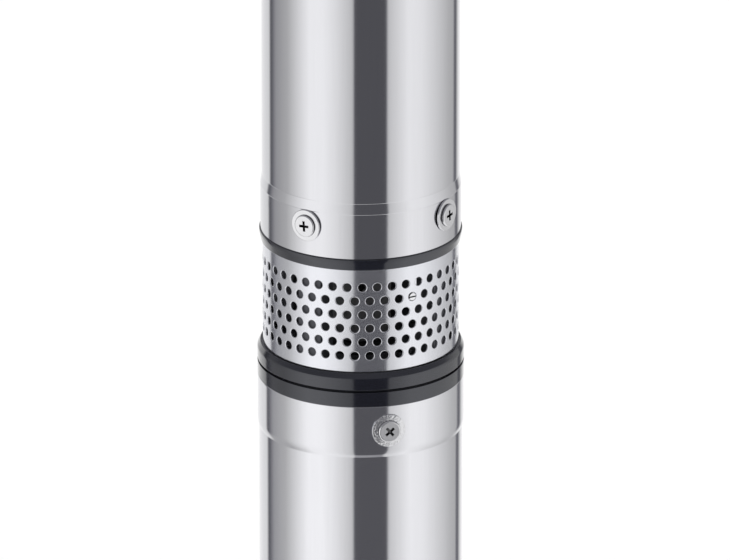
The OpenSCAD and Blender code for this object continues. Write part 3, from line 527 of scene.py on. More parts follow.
def add_prism(bm, outline, low, high, turn=Matrix.Identity(4)):
    """A straight prism over an outline of (x, y) points, in millimetres, turned into place."""
    loops = [[turn @ (Vector((x, y, z)) * MM) for x, y in outline] for z in (low, high)]
    for ring in add_loops(bm, loops):
        bm.faces.new(ring)


def soften(bm, width, angle):
    """Rounds the edges of a mesh that are sharper than an angle."""
    bm.normal_update()
    edges = [e for e in bm.edges if len(e.link_faces) == 2 and e.calc_face_angle() > math.radians(angle)]
    bmesh.ops.bevel(bm, geom=edges, offset=width * MM, segments=3, affect="EDGES", profile=0.5)


def plain_mesh(bm):
    """A mesh of the faces as they were made."""
    mesh = bpy.data.meshes.new("shape")
    bm.to_mesh(mesh)
    bm.free()
    return mesh


def mesh_from(bm, sharp=38.0):
    """A finished mesh: doubles merged, faces turned outwards, smooth but for its sharp edges."""
    bmesh.ops.remove_doubles(bm, verts=bm.verts, dist=1e-7)
    bmesh.ops.dissolve_degenerate(bm, edges=bm.edges, dist=1e-8)
    bmesh.ops.recalc_face_normals(bm, faces=bm.faces)
    mesh = plain_mesh(bm)
    mesh.shade_smooth()
    mesh.set_sharp_from_angle(angle=math.radians(sharp))
    return mesh


def turned(corners, segments=256):
    """A mesh turned about Z from the corners of its section."""
    bm = bmesh.new()
    add_turned(bm, corners, segments)
    return mesh_from(bm)


def placed(name, data):
    """A new object of the scene, at the origin."""
    made = bpy.data.objects.new(name, data)
    scene.collection.objects.link(made)
    return made


def discard(*objects):
    for item in objects:
        bpy.data.objects.remove(item)


def evaluated(item):
    """The mesh that an object's modifiers make of it."""
    bpy.context.view_layer.update()
    return bpy.data.meshes.new_from_object(item.evaluated_get(bpy.context.evaluated_depsgraph_get()))


def cut(body, tool):
    """The mesh of a body with a tool's shape taken out of it; both objects are removed."""
    change = body.modifiers.new("cut", "BOOLEAN")
    change.operation = "DIFFERENCE"
    change.solver = "EXACT"
    change.object = tool
    mesh = evaluated(body)
    discard(body, tool)
    return mesh


def piece(name, mesh, material, node):
    """Shows a mesh in place of a node of the casing."""
    mesh.name = name
    mesh.materials.clear()
    mesh.materials.append(material)
    made = placed(name, mesh)
    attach(made, "casing")
    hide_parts(node)
    return made


# Recipes: geometry node trees with named inputs


class Recipe(Nodes):
    """A geometry node tree, with objects, counts, sizes and a finish as its named inputs."""

    def __init__(self, name, objects, counts, sizes):
        super().__init__(bpy.data.node_groups.new(name, "GeometryNodeTree"))
        self.tree.interface.new_socket(name="Geometry", in_out="OUTPUT", socket_type="NodeSocketGeometry")
        self.keys = {}
        kinds = {"Object": objects, "Int": counts, "Float": sizes, "Material": ["Finish"]}
        for kind, labels in kinds.items():
            for label in labels:
                made = self.tree.interface.new_socket(name=label, socket_type="NodeSocket" + kind)
                self.keys[label] = made.identifier
        source = self.tree.nodes.new("NodeGroupInput")
        self.inputs = {label: Value(self, source.outputs[label]) for label in self.keys}

    def end(self, geometry, weld=0.0):
        """Welds points that lie so near, in millimetres, realizes, gives the finish and closes the tree."""
        if weld:
            sockets = {"Geometry": geometry, "Distance": weld * MM}
            geometry = self.node("GeometryNodeMergeByDistance", sockets)
        real = self.node("GeometryNodeRealizeInstances", {"Geometry": geometry})
        sockets = {"Geometry": real, "Material": self.inputs["Finish"]}
        dressed = self.node("GeometryNodeSetMaterial", sockets)
        output = self.tree.nodes.new("NodeGroupOutput")
        self.tree.links.new(dressed.socket, output.inputs["Geometry"])

    def moved(self, geometry, place):
        """Points or a mesh, set to new places."""
        return self.node("GeometryNodeSetPosition", {"Geometry": geometry, "Position": place})

    def repeated(self, points, label, **sockets):
        """The object that an input names, on every point."""
        part = self.node("GeometryNodeObjectInfo", {"Object": self.inputs[label]}, "Geometry")
        return self.node("GeometryNodeInstanceOnPoints", {"Points": points, "Instance": part, **sockets})

    def round_axis(self, radius, angle, height):
        """The place at a radius from the Z axis and an angle from the front towards +X."""
        x = radius * self.math("SINE", angle)
        y = 0.0 - radius * self.math("COSINE", angle)
        return self.vector(x, y, height)

    def make(self, name, values):
        """Runs the tree on an empty object and returns the result as a plain mesh."""
        holder = placed(name, bpy.data.meshes.new(name))
        modifier = holder.modifiers.new(name, "NODES")
        modifier.node_group = self.tree
        for label, value in values.items():
            modifier[self.keys[label]] = value
        mesh = evaluated(holder)
        discard(holder)
        return mesh


def fastener_rows():
    """Repeats a part in rows round a tube, its own Z pointing away from the axis."""
    recipe = Recipe("fastener_rows", ["Part"], ["Count", "Rows"], [
        "First Angle", "Turn", "First Radius", "Radius Step", "First Height", "Height Step",
    ])
    given = recipe.inputs
    spots = recipe.node("GeometryNodeMeshLine", {"Count": given["Count"] * given["Rows"]})
    index = recipe.node("GeometryNodeInputIndex")
    row = recipe.math("FLOOR", index / given["Count"])
    angle = given["First Angle"] + (index % given["Count"]) * (2 * math.pi) / given["Count"]
    radius = given["First Radius"] + row * given["Radius Step"]
    height = given["First Height"] + row * given["Height Step"]
    spots = recipe.moved(spots, recipe.round_axis(radius, angle, height))
    parts = recipe.repeated(spots, "Part", Rotation=recipe.vector(math.pi / 2, 0.0, angle))
    spin = recipe.vector(0.0, 0.0, given["Turn"])
    recipe.end(recipe.node("GeometryNodeRotateInstances", {"Instances": parts, "Rotation": spin}))
    return recipe


def perforated_sleeve():
    """Tiles flat cells into staggered rows, opens the cable exit, and rolls the sheet up into a sleeve."""
    recipe = Recipe("perforated_sleeve", ["Cell", "Blank", "Rim"], ["Columns", "Rows"], [
        "Radius", "First Angle", "Top Row", "Row Pitch", "Top Rim", "Bottom Rim",
        "Exit Height", "Exit Keep", "Exit Radius", "Seam Angle",
    ])
    given = recipe.inputs
    exit_x = given["Radius"] * math.pi
    spots = recipe.node("GeometryNodeMeshLine", {"Count": given["Columns"] * given["Rows"]})
    index = recipe.node("GeometryNodeInputIndex")
    row = recipe.math("FLOOR", index / given["Columns"])
    step = given["Radius"] * (2 * math.pi) / given["Columns"]
    start = given["Radius"] * given["First Angle"]
    x = start + step * (index % given["Columns"] + (row % 2.0) * 0.5)
    z = given["Top Row"] - row * given["Row Pitch"]
    laid = recipe.moved(spots, recipe.vector(x, 0.0, z))
    from_exit = ((x - exit_x) ** 2.0 + (z - given["Exit Height"]) ** 2.0) ** 0.5
    from_seam = recipe.math("ABSOLUTE", x - given["Radius"] * given["Seam Angle"])
    blank = recipe.math("MAXIMUM", from_exit < given["Exit Keep"], from_seam < step * 0.5)
    tiles = [recipe.repeated(laid, "Blank", Selection=blank)]
    tiles.append(recipe.repeated(laid, "Cell", Selection=1.0 - blank))
    rim_spots = recipe.node("GeometryNodeMeshLine", {"Count": given["Columns"]})
    rim_x = start + step * index
    last_row = given["Top Row"] - given["Row Pitch"] * (given["Rows"] - 1.0)
    for row_z, side, rim_h, turn in (
        (given["Top Row"], 1.0, given["Top Rim"], 0.0),
        (last_row, -1.0, given["Bottom Rim"], math.pi),
    ):
        middle = row_z + (given["Row Pitch"] + rim_h) * (side / 2)
        rim = recipe.moved(rim_spots, recipe.vector(rim_x, 0.0, middle))
        scale = recipe.vector(1.0, 1.0, rim_h)
        tiles.append(recipe.repeated(rim, "Rim", Rotation=(0.0, turn, 0.0), Scale=scale))
    joined = recipe.tree.nodes.new("GeometryNodeJoinGeometry")
    for tile in tiles:
        recipe.tree.links.new(tile.socket, joined.inputs[0])
    flat = recipe.node("GeometryNodeRealizeInstances", {"Geometry": Value(recipe, joined.outputs[0])})
    flat_x, flat_y, flat_z = recipe.parts(recipe.node("GeometryNodeInputPosition"))
    hole = ((flat_x - exit_x) ** 2.0 + (flat_z - given["Exit Height"]) ** 2.0) ** 0.5 < given["Exit Radius"]
    opened = recipe.node("GeometryNodeDeleteGeometry", {"Geometry": flat, "Selection": hole}, domain="FACE")
    rolled = recipe.round_axis(given["Radius"] - flat_y, flat_x / given["Radius"], flat_z)
    recipe.end(recipe.moved(opened, rolled), 0.004)
    return recipe


thread_around = 128
thread_along = 160


def threaded_bore():
    """An inside thread: a fine sleeve whose wall rises and falls along a helix, fading out at both ends."""
    recipe = Recipe("threaded_bore", [], [], ["Radius", "Depth", "Pitch", "Low", "Height"])
    given = recipe.inputs
    sheet = recipe.node("GeometryNodeMeshGrid", {
        "Size X": 1.0, "Size Y": 1.0, "Vertices X": thread_around + 1, "Vertices Y": thread_along + 1,
    })
    u, v = recipe.parts(recipe.node("GeometryNodeInputPosition"))[:2]
    turn = u + 0.5
    rise = v + 0.5
    ahead = 8.0  # even, and keeps the helix above zero
    helix = rise * given["Height"] / given["Pitch"] * 2.0 - turn * 2.0 + ahead
    wave = recipe.math("PINGPONG", helix, 1.0)
    fade = recipe.smooth(rise, 0.0, 0.08) * (1.0 - recipe.smooth(rise, 0.92, 1.0))
    radius = given["Radius"] + wave * given["Depth"] * fade
    place = recipe.round_axis(radius, turn * (2 * math.pi), given["Low"] + rise * given["Height"])
    recipe.end(recipe.moved(sheet, place), 0.001)
    return recipe


# Tubes

pump_run = pump_flare_h + pump_taper_h
bend = 0.8
line_step = 0.07
line_w = 0.2
line_rise = 0.25
line_hold = 6.0


def pump_taper(z, way):
    """The outside of a taper, from the tube's end inwards, with a fine rolled line near both its ends."""
    start = z + way * (pump_flare_h + line_rise)
    end = z + way * (pump_run + line_rise)
    soft = line_w * 0.3
    return [
        (pump_end_r, start - way * line_hold, 1.0),
        (pump_end_r - line_step, start, soft),
        (pump_end_r, start + way * line_w, soft),
        (pump_r - line_step, end, soft),
        (pump_r, end + way * line_w, soft),
    ]


piece("pump_tube_polished", turned([
    (pump_end_in, z_pump_tube, 0.2), (pump_end_r, z_pump_tube, 0.3),
    *pump_taper(z_pump_tube, 1), *pump_taper(z_head, -1)[::-1],
    (pump_end_r, z_head, 0.3), (pump_end_in, z_head, 0.2),
    (pump_end_in, z_head - pump_flare_h, bend), (pump_in, z_head - pump_run, bend),
    (pump_in, z_pump_tube + pump_run, bend), (pump_end_in, z_pump_tube + pump_flare_h, bend),
]), tube_steel, "pump_tube")

piece("motor_tube_polished", turned([
    (motor_in, z_motor_tube, 0.2), (motor_r, z_motor_tube, 0.3), (motor_r, z_step - motor_taper_h, 0.15),
    (motor_end_r, z_step, 1.8), (motor_end_r, z_bracket, 0.3), (motor_end_in, z_bracket, 0.2),
    (motor_end_in, z_step, 0.5), (motor_in, z_step - motor_taper_h, 0.5),
]), motor_steel, "motor_tube")

# Black rings: motor bracket, bottom cap and intake body

cap_r = motor_in - spigot_fit
bracket_r = motor_end_in - spigot_fit
upper_hub_r = upper_bearing_r + hub_wall
z_bearing = z_bracket_low + upper_bearing_w
z_plate = z_bracket - bracket_plate_h
piece("motor_bracket_coated", turned([
    (cap_r, z_bracket_low, 0.6), (cap_r, z_step + spigot_fit, 0.0), (bracket_r, z_step + spigot_fit, 0.3),
    (bracket_r, z_bracket, 0.0), (motor_end_r + ring_over, z_bracket, 0.25),
    (ring_r, z_inlet - ring_band_h, 0.8), (ring_r, z_inlet - rim_gap, 0.2),
    (ring_r - rim_relief, z_inlet - rim_gap, 0.0), (ring_r - rim_relief, z_inlet - hair / 2, 0.0),
    (nose_r, z_inlet - hair / 2, 0.0), (nose_r, z_nose, 0.5), (seal_r, z_nose, 0.3),
    (seal_r, z_bearing + web_h, 0.0), (shaft_bore_r, z_bearing + web_h, 0.0), (shaft_bore_r, z_bearing, 0.0),
    (upper_bearing_r, z_bearing, 0.0), (upper_bearing_r, z_bracket_low, 0.3),
    (upper_hub_r, z_bracket_low, 0.3), (upper_hub_r, z_plate, 0.8),
    (skirt_r, z_plate, 0.8), (skirt_r, z_bracket_low, 0.4),
]), coated_black, "motor_bracket")

cap_out = motor_r + cap_edge
lower_hub_r = lower_bearing_r + hub_wall
z_pocket = z_cap_top - lower_bearing_w
z_floor = z_motor_tube + cap_floor_h
piece("bottom_cap_coated", turned([
    (0.0, foot_recess_h, 0.0), (foot_recess_r, foot_recess_h, 0.4), (foot_recess_r, 0.0, 0.4),
    (cap_out - cap_chamfer, 0.0, 0.5), (cap_out, cap_chamfer, 0.8), (cap_out, z_motor_tube - hair, 0.4),
    (cap_r, z_motor_tube - hair, 0.0), (cap_r, z_cap_top, 0.6), (skirt_r, z_cap_top, 0.4),
    (skirt_r, z_floor, 0.8), (lower_hub_r, z_floor, 0.8), (lower_hub_r, z_cap_top, 0.3),
    (lower_bearing_r, z_cap_top, 0.3), (lower_bearing_r, z_pocket, 0.0), (well_r, z_pocket, 0.0),
    (well_r, z_pocket - well_h, 0.0), (0.0, z_pocket - well_h, 0.0),
]), coated_black, "bottom_cap")


def intake_body():
    """Flange with its chamfer, lip ring with spigot, four columns, four arms and the lower bush's hub."""
    bm = bmesh.new()
    floor_z = z_strainer - rebate
    groove_r = strainer_r + rebate_gap
    flange_in = nose_r + nose_gap
    add_turned(bm, [
        (flange_in, z_inlet, 0.4), (ring_r - rim_relief, z_inlet, 0.0),
        (ring_r - rim_relief, z_inlet + rim_gap, 0.0), (ring_r, z_inlet + rim_gap, 0.2),
        (ring_r, z_strainer - flange_chamfer_h, 0.7), (groove_r + 0.3, z_strainer, 0.2),
        (groove_r, z_strainer, 0.1), (groove_r, floor_z, 0.0), (flange_in, floor_z, 0.4),
    ])
    lip_in = strainer_r + lip_gap
    add_turned(bm, [
        (skirt_r, z_lip + rebate, 0.4), (lip_in, z_lip + rebate, 0.0), (lip_in, z_lip, 0.1),
        (lip_in + 0.4, z_lip, 0.3), (lip_r, z_pump_tube - lip_chamfer_h, 0.7),
        (lip_r, z_pump_tube - hair, 0.4), (spigot_r, z_pump_tube - hair, 0.0), (spigot_r, z_stage, 0.5),
        (skirt_r, z_stage, 0.5),
    ])
    hub_r = bush_r + hub_wall
    add_turned(bm, [
        (bush_r, z_bush_low, 0.3), (hub_r, z_bush_low, 0.8),
        (hub_r, z_bush_top, 0.8), (bush_r, z_bush_top, 0.3),
    ], 96)
    column_r = strainer_r - strainer_t - column_gap
    half = column_w / 2
    face_steps = 6
    arc = [math.asin(half / column_r) * (k / face_steps - 1) for k in range(2 * face_steps + 1)]
    back = -math.sqrt(column_in ** 2 - half ** 2)
    column = [(column_r * math.sin(a), -column_r * math.cos(a)) for a in arc]
    column += [(half, back), (-half, back)]
    sink = 1.0
    arm = [(side * arm_w / 2, -skirt_r - sink) for side in (-1, 1)]
    arm += [(side * arm_w / 2, -bush_r - sink) for side in (1, -1)]
    for k in range(4):
        turn = Matrix.Rotation(math.radians(pump_screw_angle + 90 * k), 4, "Z")
        add_prism(bm, column, floor_z - sink, z_lip + 2 * sink, turn)
        add_prism(bm, arm, z_lip, z_pump_tube + arm_rise, turn)
    return mesh_from(bm)


piece("intake_body_moulded", intake_body(), intake_black, "inlet_body")

# Strainer sleeve and the cable grommet in its back

cell_across = 8
cell_up = 4


def cell_frame(width, height):
    """The border of a flat cell from its lower left, in steps along its edges and up its sides."""
    along = [(k / cell_across - 0.5) * width for k in range(cell_across)]
    rise = [(k / cell_up - 0.5) * height for k in range(cell_up)]
    points = [(x, -height / 2) for x in along] + [(width / 2, z) for z in rise]
    return points + [(-x, -z) for x, z in points]


def perforated_cell(width, height, thickness):
    """One hole in its patch of sheet, with a rolled rim outside and a small one inside."""
    bm = bmesh.new()
    border = cell_frame(width, height)
    angles = [math.atan2(z / height, x / width) for x, z in border]
    radius = hole_r * MM
    rim = hole_rim * MM
    rim_steps = 3

    def circle(r, depth):
        return [(r * math.cos(a), depth, r * math.sin(a)) for a in angles]

    loops = [[(x, 0.0, z) for x, z in border]]
    rim_foot = circle(radius + rim * 1.4, 0.0)
    loops.append([(x + (foot[0] - x) * 0.45, 0.0, z + (foot[2] - z) * 0.45)
                  for (x, z), foot in zip(border, rim_foot)])
    loops.append(rim_foot)
    for step in range(rim_steps + 1):
        a = math.pi / 2 * step / rim_steps
        loops.append(circle(radius + rim * (1 - math.sin(a)), rim * 0.8 * (1 - math.cos(a))))
    loops.append(circle(radius, thickness * 0.9))
    loops.append(circle(radius * 1.04, thickness))
    loops.append([(x, thickness, z) for x, z in border])
    add_loops(bm, loops)
    return bm


def plain_cell(width, height, thickness, capped):
    """A patch of sheet without a hole; a capped one closes the sheet's edge."""
    bm = bmesh.new()
    columns = [width * (i / cell_across - 0.5) for i in range(cell_across + 1)]
    levels = [height * (j / cell_up - 0.5) for j in range(cell_up + 1)]
    for depth, flip in ((0.0, False), (thickness, True)):
        grid = [[bm.verts.new((x, depth, z)) for x in columns] for z in levels]
        for j in range(cell_up):
            for i in range(cell_across):
                corners = [grid[j][i], grid[j][i + 1], grid[j + 1][i + 1], grid[j + 1][i]]
                bm.faces.new(corners[::-1] if flip else corners)
    if capped:
        edge = [[bm.verts.new((x, depth, height / 2)) for x in columns] for depth in (0.0, thickness)]
        for i in range(cell_across):
            bm.faces.new((edge[0][i], edge[0][i + 1], edge[1][i + 1], edge[1][i]))
    bmesh.ops.remove_doubles(bm, verts=bm.verts, dist=1e-7)
    return bm


def strainer_sleeve():
    """Rows of cells with a hole, blank ones at the seam and round the cable exit, and a rim at each end."""
    row_pitch = (z_lip - z_strainer - top_margin - bottom_margin) / (hole_rows - 1) * MM
    cell_w = 2 * math.pi * strainer_r * MM / holes_per_row
    sheet_t = strainer_t * MM
    cells = {
        "Cell": perforated_cell(cell_w, row_pitch, sheet_t),
        "Blank": plain_cell(cell_w, row_pitch, sheet_t, False),
        "Rim": plain_cell(cell_w, 1.0, sheet_t, True),
    }
    tiles = {label: placed(label, plain_mesh(bm)) for label, bm in cells.items()}
    mesh = perforated_sleeve().make("strainer_sleeve", {
        **tiles, "Columns": holes_per_row, "Rows": hole_rows,
        "Radius": strainer_r * MM, "First Angle": math.radians(first_hole_angle),
        "Top Row": (z_lip - top_margin) * MM, "Row Pitch": row_pitch,
        "Top Rim": (top_margin + rebate) * MM - row_pitch / 2,
        "Bottom Rim": (bottom_margin + rebate) * MM - row_pitch / 2,
        "Exit Height": z_grommet * MM, "Exit Keep": (cable_r + exit_keep) * MM,
        "Exit Radius": (cable_r + exit_gap) * MM,
        "Seam Angle": math.radians(seam_angle), "Finish": sheet_steel,
    })
    discard(*tiles.values())
    bm = bmesh.new()
    bm.from_mesh(mesh)
    return mesh_from(bm, 50.0)


piece("strainer_sleeve", strainer_sleeve(), sheet_steel, "strainer")


def cable_grommet():
    """A grooved grommet, turned about Z and laid in the back of the strainer, its Z pointing outwards."""
    flange = 1.5
    far = flange + strainer_t + 1.6
    top = far + flange
    outer = cable_r + 4
    groove = outer - 2.05
    mesh = turned([
        (cable_r, 0.0, 0.5), (outer, 0.0, 0.6), (outer, flange, 0.3), (groove, flange, 0.2),
        (groove, far, 0.2), (outer, far, 0.3), (outer - 0.6, top, 0.7), (cable_r, top, 0.5),
    ], 64)
    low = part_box("cable_grommet")[0].y
    mesh.transform(Matrix.Translation((0.0, low, z_grommet * MM)) @ Matrix.Rotation(-math.pi / 2, 4, "X"))
    return mesh


piece("cable_grommet_moulded", cable_grommet(), rubber, "cable_grommet")

# Screws and washers


def screw_head():
    """A low flat head with its shank and a deep, tapered cross recess; the head sits on Z = 0."""
    top = screw_head_h
    head = placed("low_head", turned([
        (0.0, -screw_l, 0.0), (screw_r, -screw_l, 0.4), (screw_r, 0.0, 0.0), (screw_head_r - 0.2, 0.0, 0.0),
        (screw_head_r, 0.15, 0.1), (screw_head_r, top * 0.7, 0.2), (screw_head_r * 0.93, top, 0.25),
        (0.0, top, 0.0),
    ], 64))
    half_w, half_l, taper = 0.7, 2.8, 0.7
    depth, over = 2.1, 1.0
    arm = [(half_l, -half_w), (half_l, half_w), (half_w, half_w)]
    cross = []
    for quarter in range(4):
        cross += arm
        arm = [(-y, x) for x, y in arm]
    bm = bmesh.new()
    add_prism(bm, cross, top - depth, top + over)
    for vert in bm.verts:
        if vert.co.z < top * MM:
            vert.co.x *= taper
            vert.co.y *= taper
    mesh = cut(head, placed("cross_tool", mesh_from(bm)))
    mesh.shade_smooth()
    mesh.set_sharp_from_angle(angle=math.radians(32.0))
    return placed("cross_head", mesh)


head = screw_head()
washer = placed("flat_washer", turned([
    (washer_bore_r, 0.0, 0.1), (washer_r, 0.0, 0.15),
    (washer_r, washer_t, 0.4), (washer_bore_r, washer_t, 0.2),
], 64))
# A dished washer is a low cone up to the screw head
cup = placed("cup_washer", turned([
    (washer_bore_r, 0.0, 0.1), (cup_washer_r, 0.0, 0.15), (cup_washer_r, cup_rim_h, 0.2),
    (screw_head_r + 0.2, cup_washer_h, 0.3), (washer_bore_r, cup_washer_h, 0.1),
], 64))
pump_rows = {
    "Count": 4, "Rows": 2, "First Angle": math.radians(pump_screw_angle), "Radius Step": 0.0,
    "First Height": (z_pump_tube + pump_screw_z) * MM,
    "Height Step": (z_head - z_pump_tube - 2 * pump_screw_z) * MM,
}
motor_rows = {
    "Count": 2, "Rows": 2, "First Angle": math.radians(motor_screw_angle),
    "Radius Step": (motor_r - motor_end_r) * MM, "First Height": (z_bracket - motor_screw_z) * MM,
    "Height Step": (z_motor_tube - z_bracket + 2 * motor_screw_z) * MM,
}
rows = fastener_rows()
pump_seat = pump_end_r + seat_gap
pump_head_seat = pump_seat + washer_t
motor_seat = motor_end_r + seat_gap
motor_head_seat = motor_seat + cup_washer_h
for name, part, layout, radius, turn, material, node in (
    ("pump_tube_cross_screws", head, pump_rows, pump_head_seat, 4.0, screw_steel, "pump_tube_screws"),
    ("pump_tube_flat_washers", washer, pump_rows, pump_seat, 0.0, washer_steel, "pump_tube_washers"),
    ("motor_tube_cross_screws", head, motor_rows, motor_head_seat, 40.0, screw_steel, "motor_tube_screws"),
    ("motor_tube_dished_washers", cup, motor_rows, motor_seat, 0.0, dished_steel, "motor_cup_washers"),
):
    made = rows.make(name, {
        **layout, "Part": part, "First Radius": radius * MM, "Turn": math.radians(turn), "Finish": material,
    })
    piece(name, made, material, node)
discard(head, washer, cup)

# Discharge head and its thread insert


def outlet_boss():
    """The eight-sided boss round the outlet, hollow for the thread insert."""
    bm = bmesh.new()
    sides, steps = 8, 12
    loops = []
    for r, z in ((insert_r, z_outlet + 2), (0.0, z_boss - 4), (0.0, z_head_top), (insert_r, z_head_top)):
        loop = []
        for k in range(sides * steps):
            angle = 2 * math.pi * k / (sides * steps)
            lean = (angle + math.pi / sides) % (2 * math.pi / sides) - math.pi / sides
            reach = r or boss_r / math.cos(lean)
            loop.append((reach * math.cos(angle) * MM, reach * math.sin(angle) * MM, z * MM))
        loops.append(loop)
    add_loops(bm, loops + loops[:1])
    soften(bm, 1.0, 30.0)
    return mesh_from(bm)


def rope_lugs():
    """Two lugs beside the boss, each with a round rope eye through it."""
    eye_steps = 48
    turns = [2 * math.pi * k / eye_steps for k in range(eye_steps)]
    eye = [(lug_x + rope_eye_r * math.cos(a), z_eye + rope_eye_r * math.sin(a)) for a in turns]
    arc = [math.radians(a) for a in range(0, 91, 6)]
    inner_x = boss_r - 2
    outline = [(inner_x, z_flange - 1), (lug_x + lug_r, z_flange - 1)]
    outline += [(lug_x + lug_r * math.cos(a), z_eye + lug_r * math.sin(a)) for a in arc]
    outline += [(inner_x, z_eye + lug_r)]
    lugs = bmesh.new()
    eyes = bmesh.new()
    for side in (0.0, math.pi):
        upright = Matrix.Rotation(side, 4, "Z") @ Matrix.Rotation(math.pi / 2, 4, "X")
        add_prism(lugs, outline, -lug_t / 2, lug_t / 2, upright)
        add_prism(eyes, eye, -lug_t, lug_t, upright)
    bmesh.ops.recalc_face_normals(lugs, faces=lugs.faces)
    soften(lugs, 0.9, 50.0)
    return cut(placed("rope_lugs", mesh_from(lugs)), placed("eye_tool", mesh_from(eyes)))


def discharge_head():
    """Flange and dome with the valve chamber inside, joined with the boss and the lugs."""
    bm = bmesh.new()
    throat_r = outlet_r - 0.5
    add_turned(bm, [
        (skirt_r, z_head_low, 0.3), (spigot_r, z_head_low, 0.5), (spigot_r, z_head + hair, 0.0),
        (lip_r, z_head + hair, 0.4), (lip_r, z_flange - 1, 0.8), (lip_r - 1, z_flange, 0.8),
        (boss_r + 3, z_boss, 3.0), (boss_r - 2, z_boss + 4, 1.0), (insert_r, z_boss + 4, 0.0),
        (insert_r, z_outlet, 0.0), (throat_r, z_outlet, 0.3), (throat_r, z_outlet - 4, 1.0),
        (neck_r, z_chamber + 2, 1.0), (neck_r, z_chamber, 0.3), (chamber_r, z_chamber, 0.3),
        (chamber_r, z_seat, 0.2), (skirt_r, z_seat, 0.2),
    ])
    bm.from_mesh(outlet_boss())
    bm.from_mesh(rope_lugs())
    return mesh_from(bm, 35.0)


piece("discharge_head_moulded", discharge_head(), gloss_black, "discharge_head")


def thread_insert():
    """The brass insert: its flange and outside, with the outlet thread cut inside."""
    low, high = heights("thread_insert")
    thread_low, thread_high = low + 1.0, high - 1.5
    flange_r, flange_z = insert_r + insert_flange, high - insert_flange
    mesh = threaded_bore().make("outlet_thread", {
        "Radius": outlet_r * MM, "Depth": thread_depth * MM, "Pitch": thread_pitch * MM,
        "Low": thread_low * MM, "Height": (thread_high - thread_low) * MM, "Finish": machined_brass,
    })
    bm = bmesh.new()
    add_turned(bm, [
        (outlet_r, thread_low, 0.0), (outlet_r + 0.8, low, 0.1), (insert_r, low, 0.3),
        (insert_r, flange_z, 0.0), (flange_r, flange_z, 0.2), (flange_r, high, 0.5),
        (outlet_r + 1.2, high, 0.3), (outlet_r, thread_high, 0.0),
    ], thread_around, closed=False)
    bm.from_mesh(mesh)
    bmesh.ops.remove_doubles(bm, verts=bm.verts, dist=1e-6)
    return mesh_from(bm, 45.0)


piece("thread_insert_machined", thread_insert(), machined_brass, "thread_insert")

# Valve spring, which the lifting valve presses together; here it is coiled at its solid's length, with a
# mesh of its own


def coiled_spring(low, high):
    """A round wire coiled about Z between two heights, closed at both ends."""
    bm = bmesh.new()
    coil_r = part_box("valve_spring")[1].x / MM - spring_wire_r
    steps, sides = spring_turns * 48, 14
    rise = high - low - 2 * spring_wire_r
    loops = []
    for i in range(steps + 1):
        turn = 2 * math.pi * spring_turns * i / steps
        middle = low + spring_wire_r + rise * i / steps
        loop = []
        for k in range(sides):
            around = 2 * math.pi * k / sides
            r = (coil_r + spring_wire_r * math.cos(around)) * MM
            z = (middle + spring_wire_r * math.sin(around)) * MM
            loop.append((r * math.cos(turn), r * math.sin(turn), z))
        loops.append(loop)
    rings = add_loops(bm, loops)
    bm.faces.new(rings[0])
    bm.faces.new(rings[-1])
    return mesh_from(bm)


spring_low, spring_high = heights("valve_spring")
coil = coiled_spring(spring_low, spring_high)
spring = piece("valve_spring_coiled", coil, spring_steel, "valve_spring")
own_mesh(spring)

# Solids that keep their own shape and only take a finish

finish_of_slot = {
    "stainless_tube": sheet_steel,
    "fastener_steel": screw_steel,
    "black_gloss": gloss_black,
    "black_paint": coated_black,
    "shaft_steel": shaft_steel,
    "spring_steel": spring_steel,
    "lamination": lamination,
    "copper": copper_wire,
    "rotor_aluminium": cast_aluminium,
    "seal_ceramic": ceramic,
    "seal_carbon": carbon,
    "rubber": rubber,
    "stage_plastic": stage_plastic,
    "brass": machined_brass,
}
for entry in frame["record"]["subparts"]:
    solid = frame["nodes"][entry["node"]]
    solid.data.materials.clear()
    dull = entry["node"] in ("coupling", "pump_shaft", "motor_shaft")
    solid.data.materials.append(dull_steel if dull else finish_of_slot[entry["material_slot"]])

# Floor, studio and camera

floor_size = 40.0
flat = bmesh.new()
bmesh.ops.create_grid(flat, x_segments=1, y_segments=1, size=floor_size)
floor = placed("studio_floor", plain_mesh(flat))
floor.visible_glossy = False
pale = Finish("pale_floor")
pale.set(Base_Color=(0.98, 0.98, 0.98, 1.0), Roughness=0.9, Specular_IOR_Level=0.0)
floor.data.materials.append(pale.material)

# The studio, by direction from the front towards +X: two long soft boxes with a dark gap between them,
# dim walls beyond their far edges and a pale backdrop behind; near the table there are no such walls
gap_level = 0.095
ceiling_level = 0.28
floor_level = 0.95
fill_level = 1.1
studio = [
    (-180, 0.97), (-165, 0.92), (-150, 0.83), (-134.5, 0.75), (-130, 0.12), (-126, 0.14), (-117, 0.34),
    (-95, 0.48), (-62, 1.04), (-45, 1.04), (-30, 0.9), (-9, 0.60), (-7, gap_level), (30, gap_level),
    (32, 0.64), (58, 0.98), (75, 0.94), (124, 0.52), (137, 0.46), (141, 0.16), (147, 0.15), (151, 0.5),
    (158, 0.8), (168, 0.95), (180, 0.97),
]
studio_low = [
    (-180, 0.97), (-150, 0.83), (-136, 0.7), (-128, 0.4), (-95, 0.46), (-62, 1.0), (-45, 1.0), (-30, 0.88),
    (-9, 0.60), (-7, gap_level), (30, gap_level), (32, 0.64), (58, 0.95), (75, 0.9), (124, 0.54),
    (138, 0.52), (146, 0.62), (158, 0.8), (180, 0.97),
]
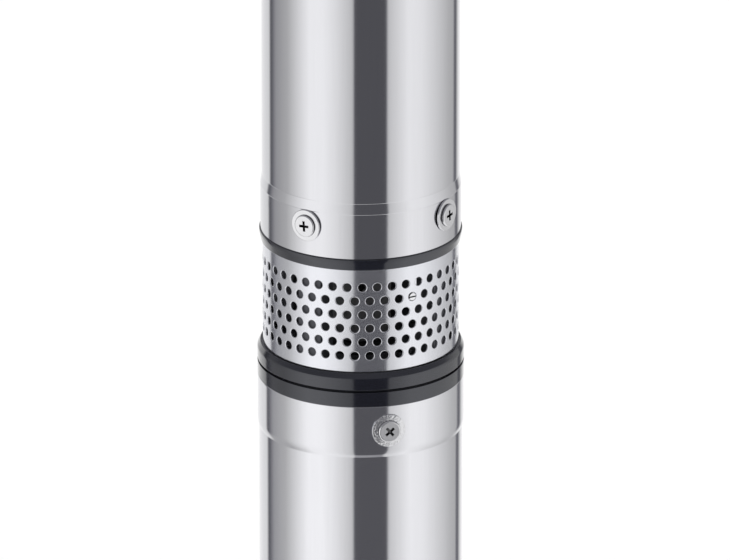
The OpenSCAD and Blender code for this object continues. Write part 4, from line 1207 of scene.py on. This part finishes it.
world = bpy.data.worlds.new("studio")
world.use_nodes = True
scene.world = world
sky = Nodes(world.node_tree)
sky.tree.nodes.clear()
look_x, look_y, look_z = sky.parts(sky.node("ShaderNodeTexCoord", output="Generated"))
bearing = sky.math("ARCTAN2", look_x, 0.0 - look_y) / (2 * math.pi) + 0.5
rings = []
for levels in (studio, studio_low):
    stops = [(angle / 360 + 0.5, level) for angle, level in levels]
    rings.append(sky.node("ShaderNodeValToRGB", {"Fac": bearing}, stops=stops))
table = sky.smooth(0.0 - look_z, 0.37, 0.46)
around = rings[0] * (1.0 - table) + rings[1] * table
overhead = sky.smooth(look_z, 0.12, 0.3)
below = sky.smooth(0.0 - look_z, 0.68, 0.9)
boxes = around * (1.0 - overhead) * (1.0 - below) + overhead * ceiling_level + below * floor_level
seen = sky.node("ShaderNodeLightPath", output="Is Camera Ray")
soft = sky.node("ShaderNodeLightPath", output="Is Diffuse Ray")
strength = seen + (1.0 - seen) * (soft * fill_level + (1.0 - soft) * boxes)
dim = 1.0 - sky.smooth(strength, 0.1, 0.5)
cool_dark = {"Red": 1.0 - dim * 0.03, "Green": 1.0 - dim * 0.03, "Blue": 1.0 + dim * 0.07}
tint = sky.node("ShaderNodeCombineColor", cool_dark)
backdrop = sky.node("ShaderNodeBackground", {"Color": tint, "Strength": strength})
output = sky.tree.nodes.new("ShaderNodeOutputWorld")
sky.tree.links.new(backdrop.socket, output.inputs["Surface"])

image_w = 730
pixel = 0.4638 * MM
elevation = math.radians(20.3)
distance = 7.3
aim_x = 2.0
aim_rise = 28.8
lens = bpy.data.cameras.new("photo_camera")
lens.sensor_width = 36.0
lens.lens = distance / pixel * lens.sensor_width / image_w
lens.clip_end = 100.0
camera = placed("photo_camera", lens)
aim = Vector((aim_x, 0.0, z_strainer + aim_rise)) * MM
camera.location = aim + distance * Vector((0.0, -math.cos(elevation), math.sin(elevation)))
camera.rotation_euler = (math.pi / 2 - elevation, 0.0, 0.0)
scene.camera = camera
scene.view_settings.view_transform = "Standard"
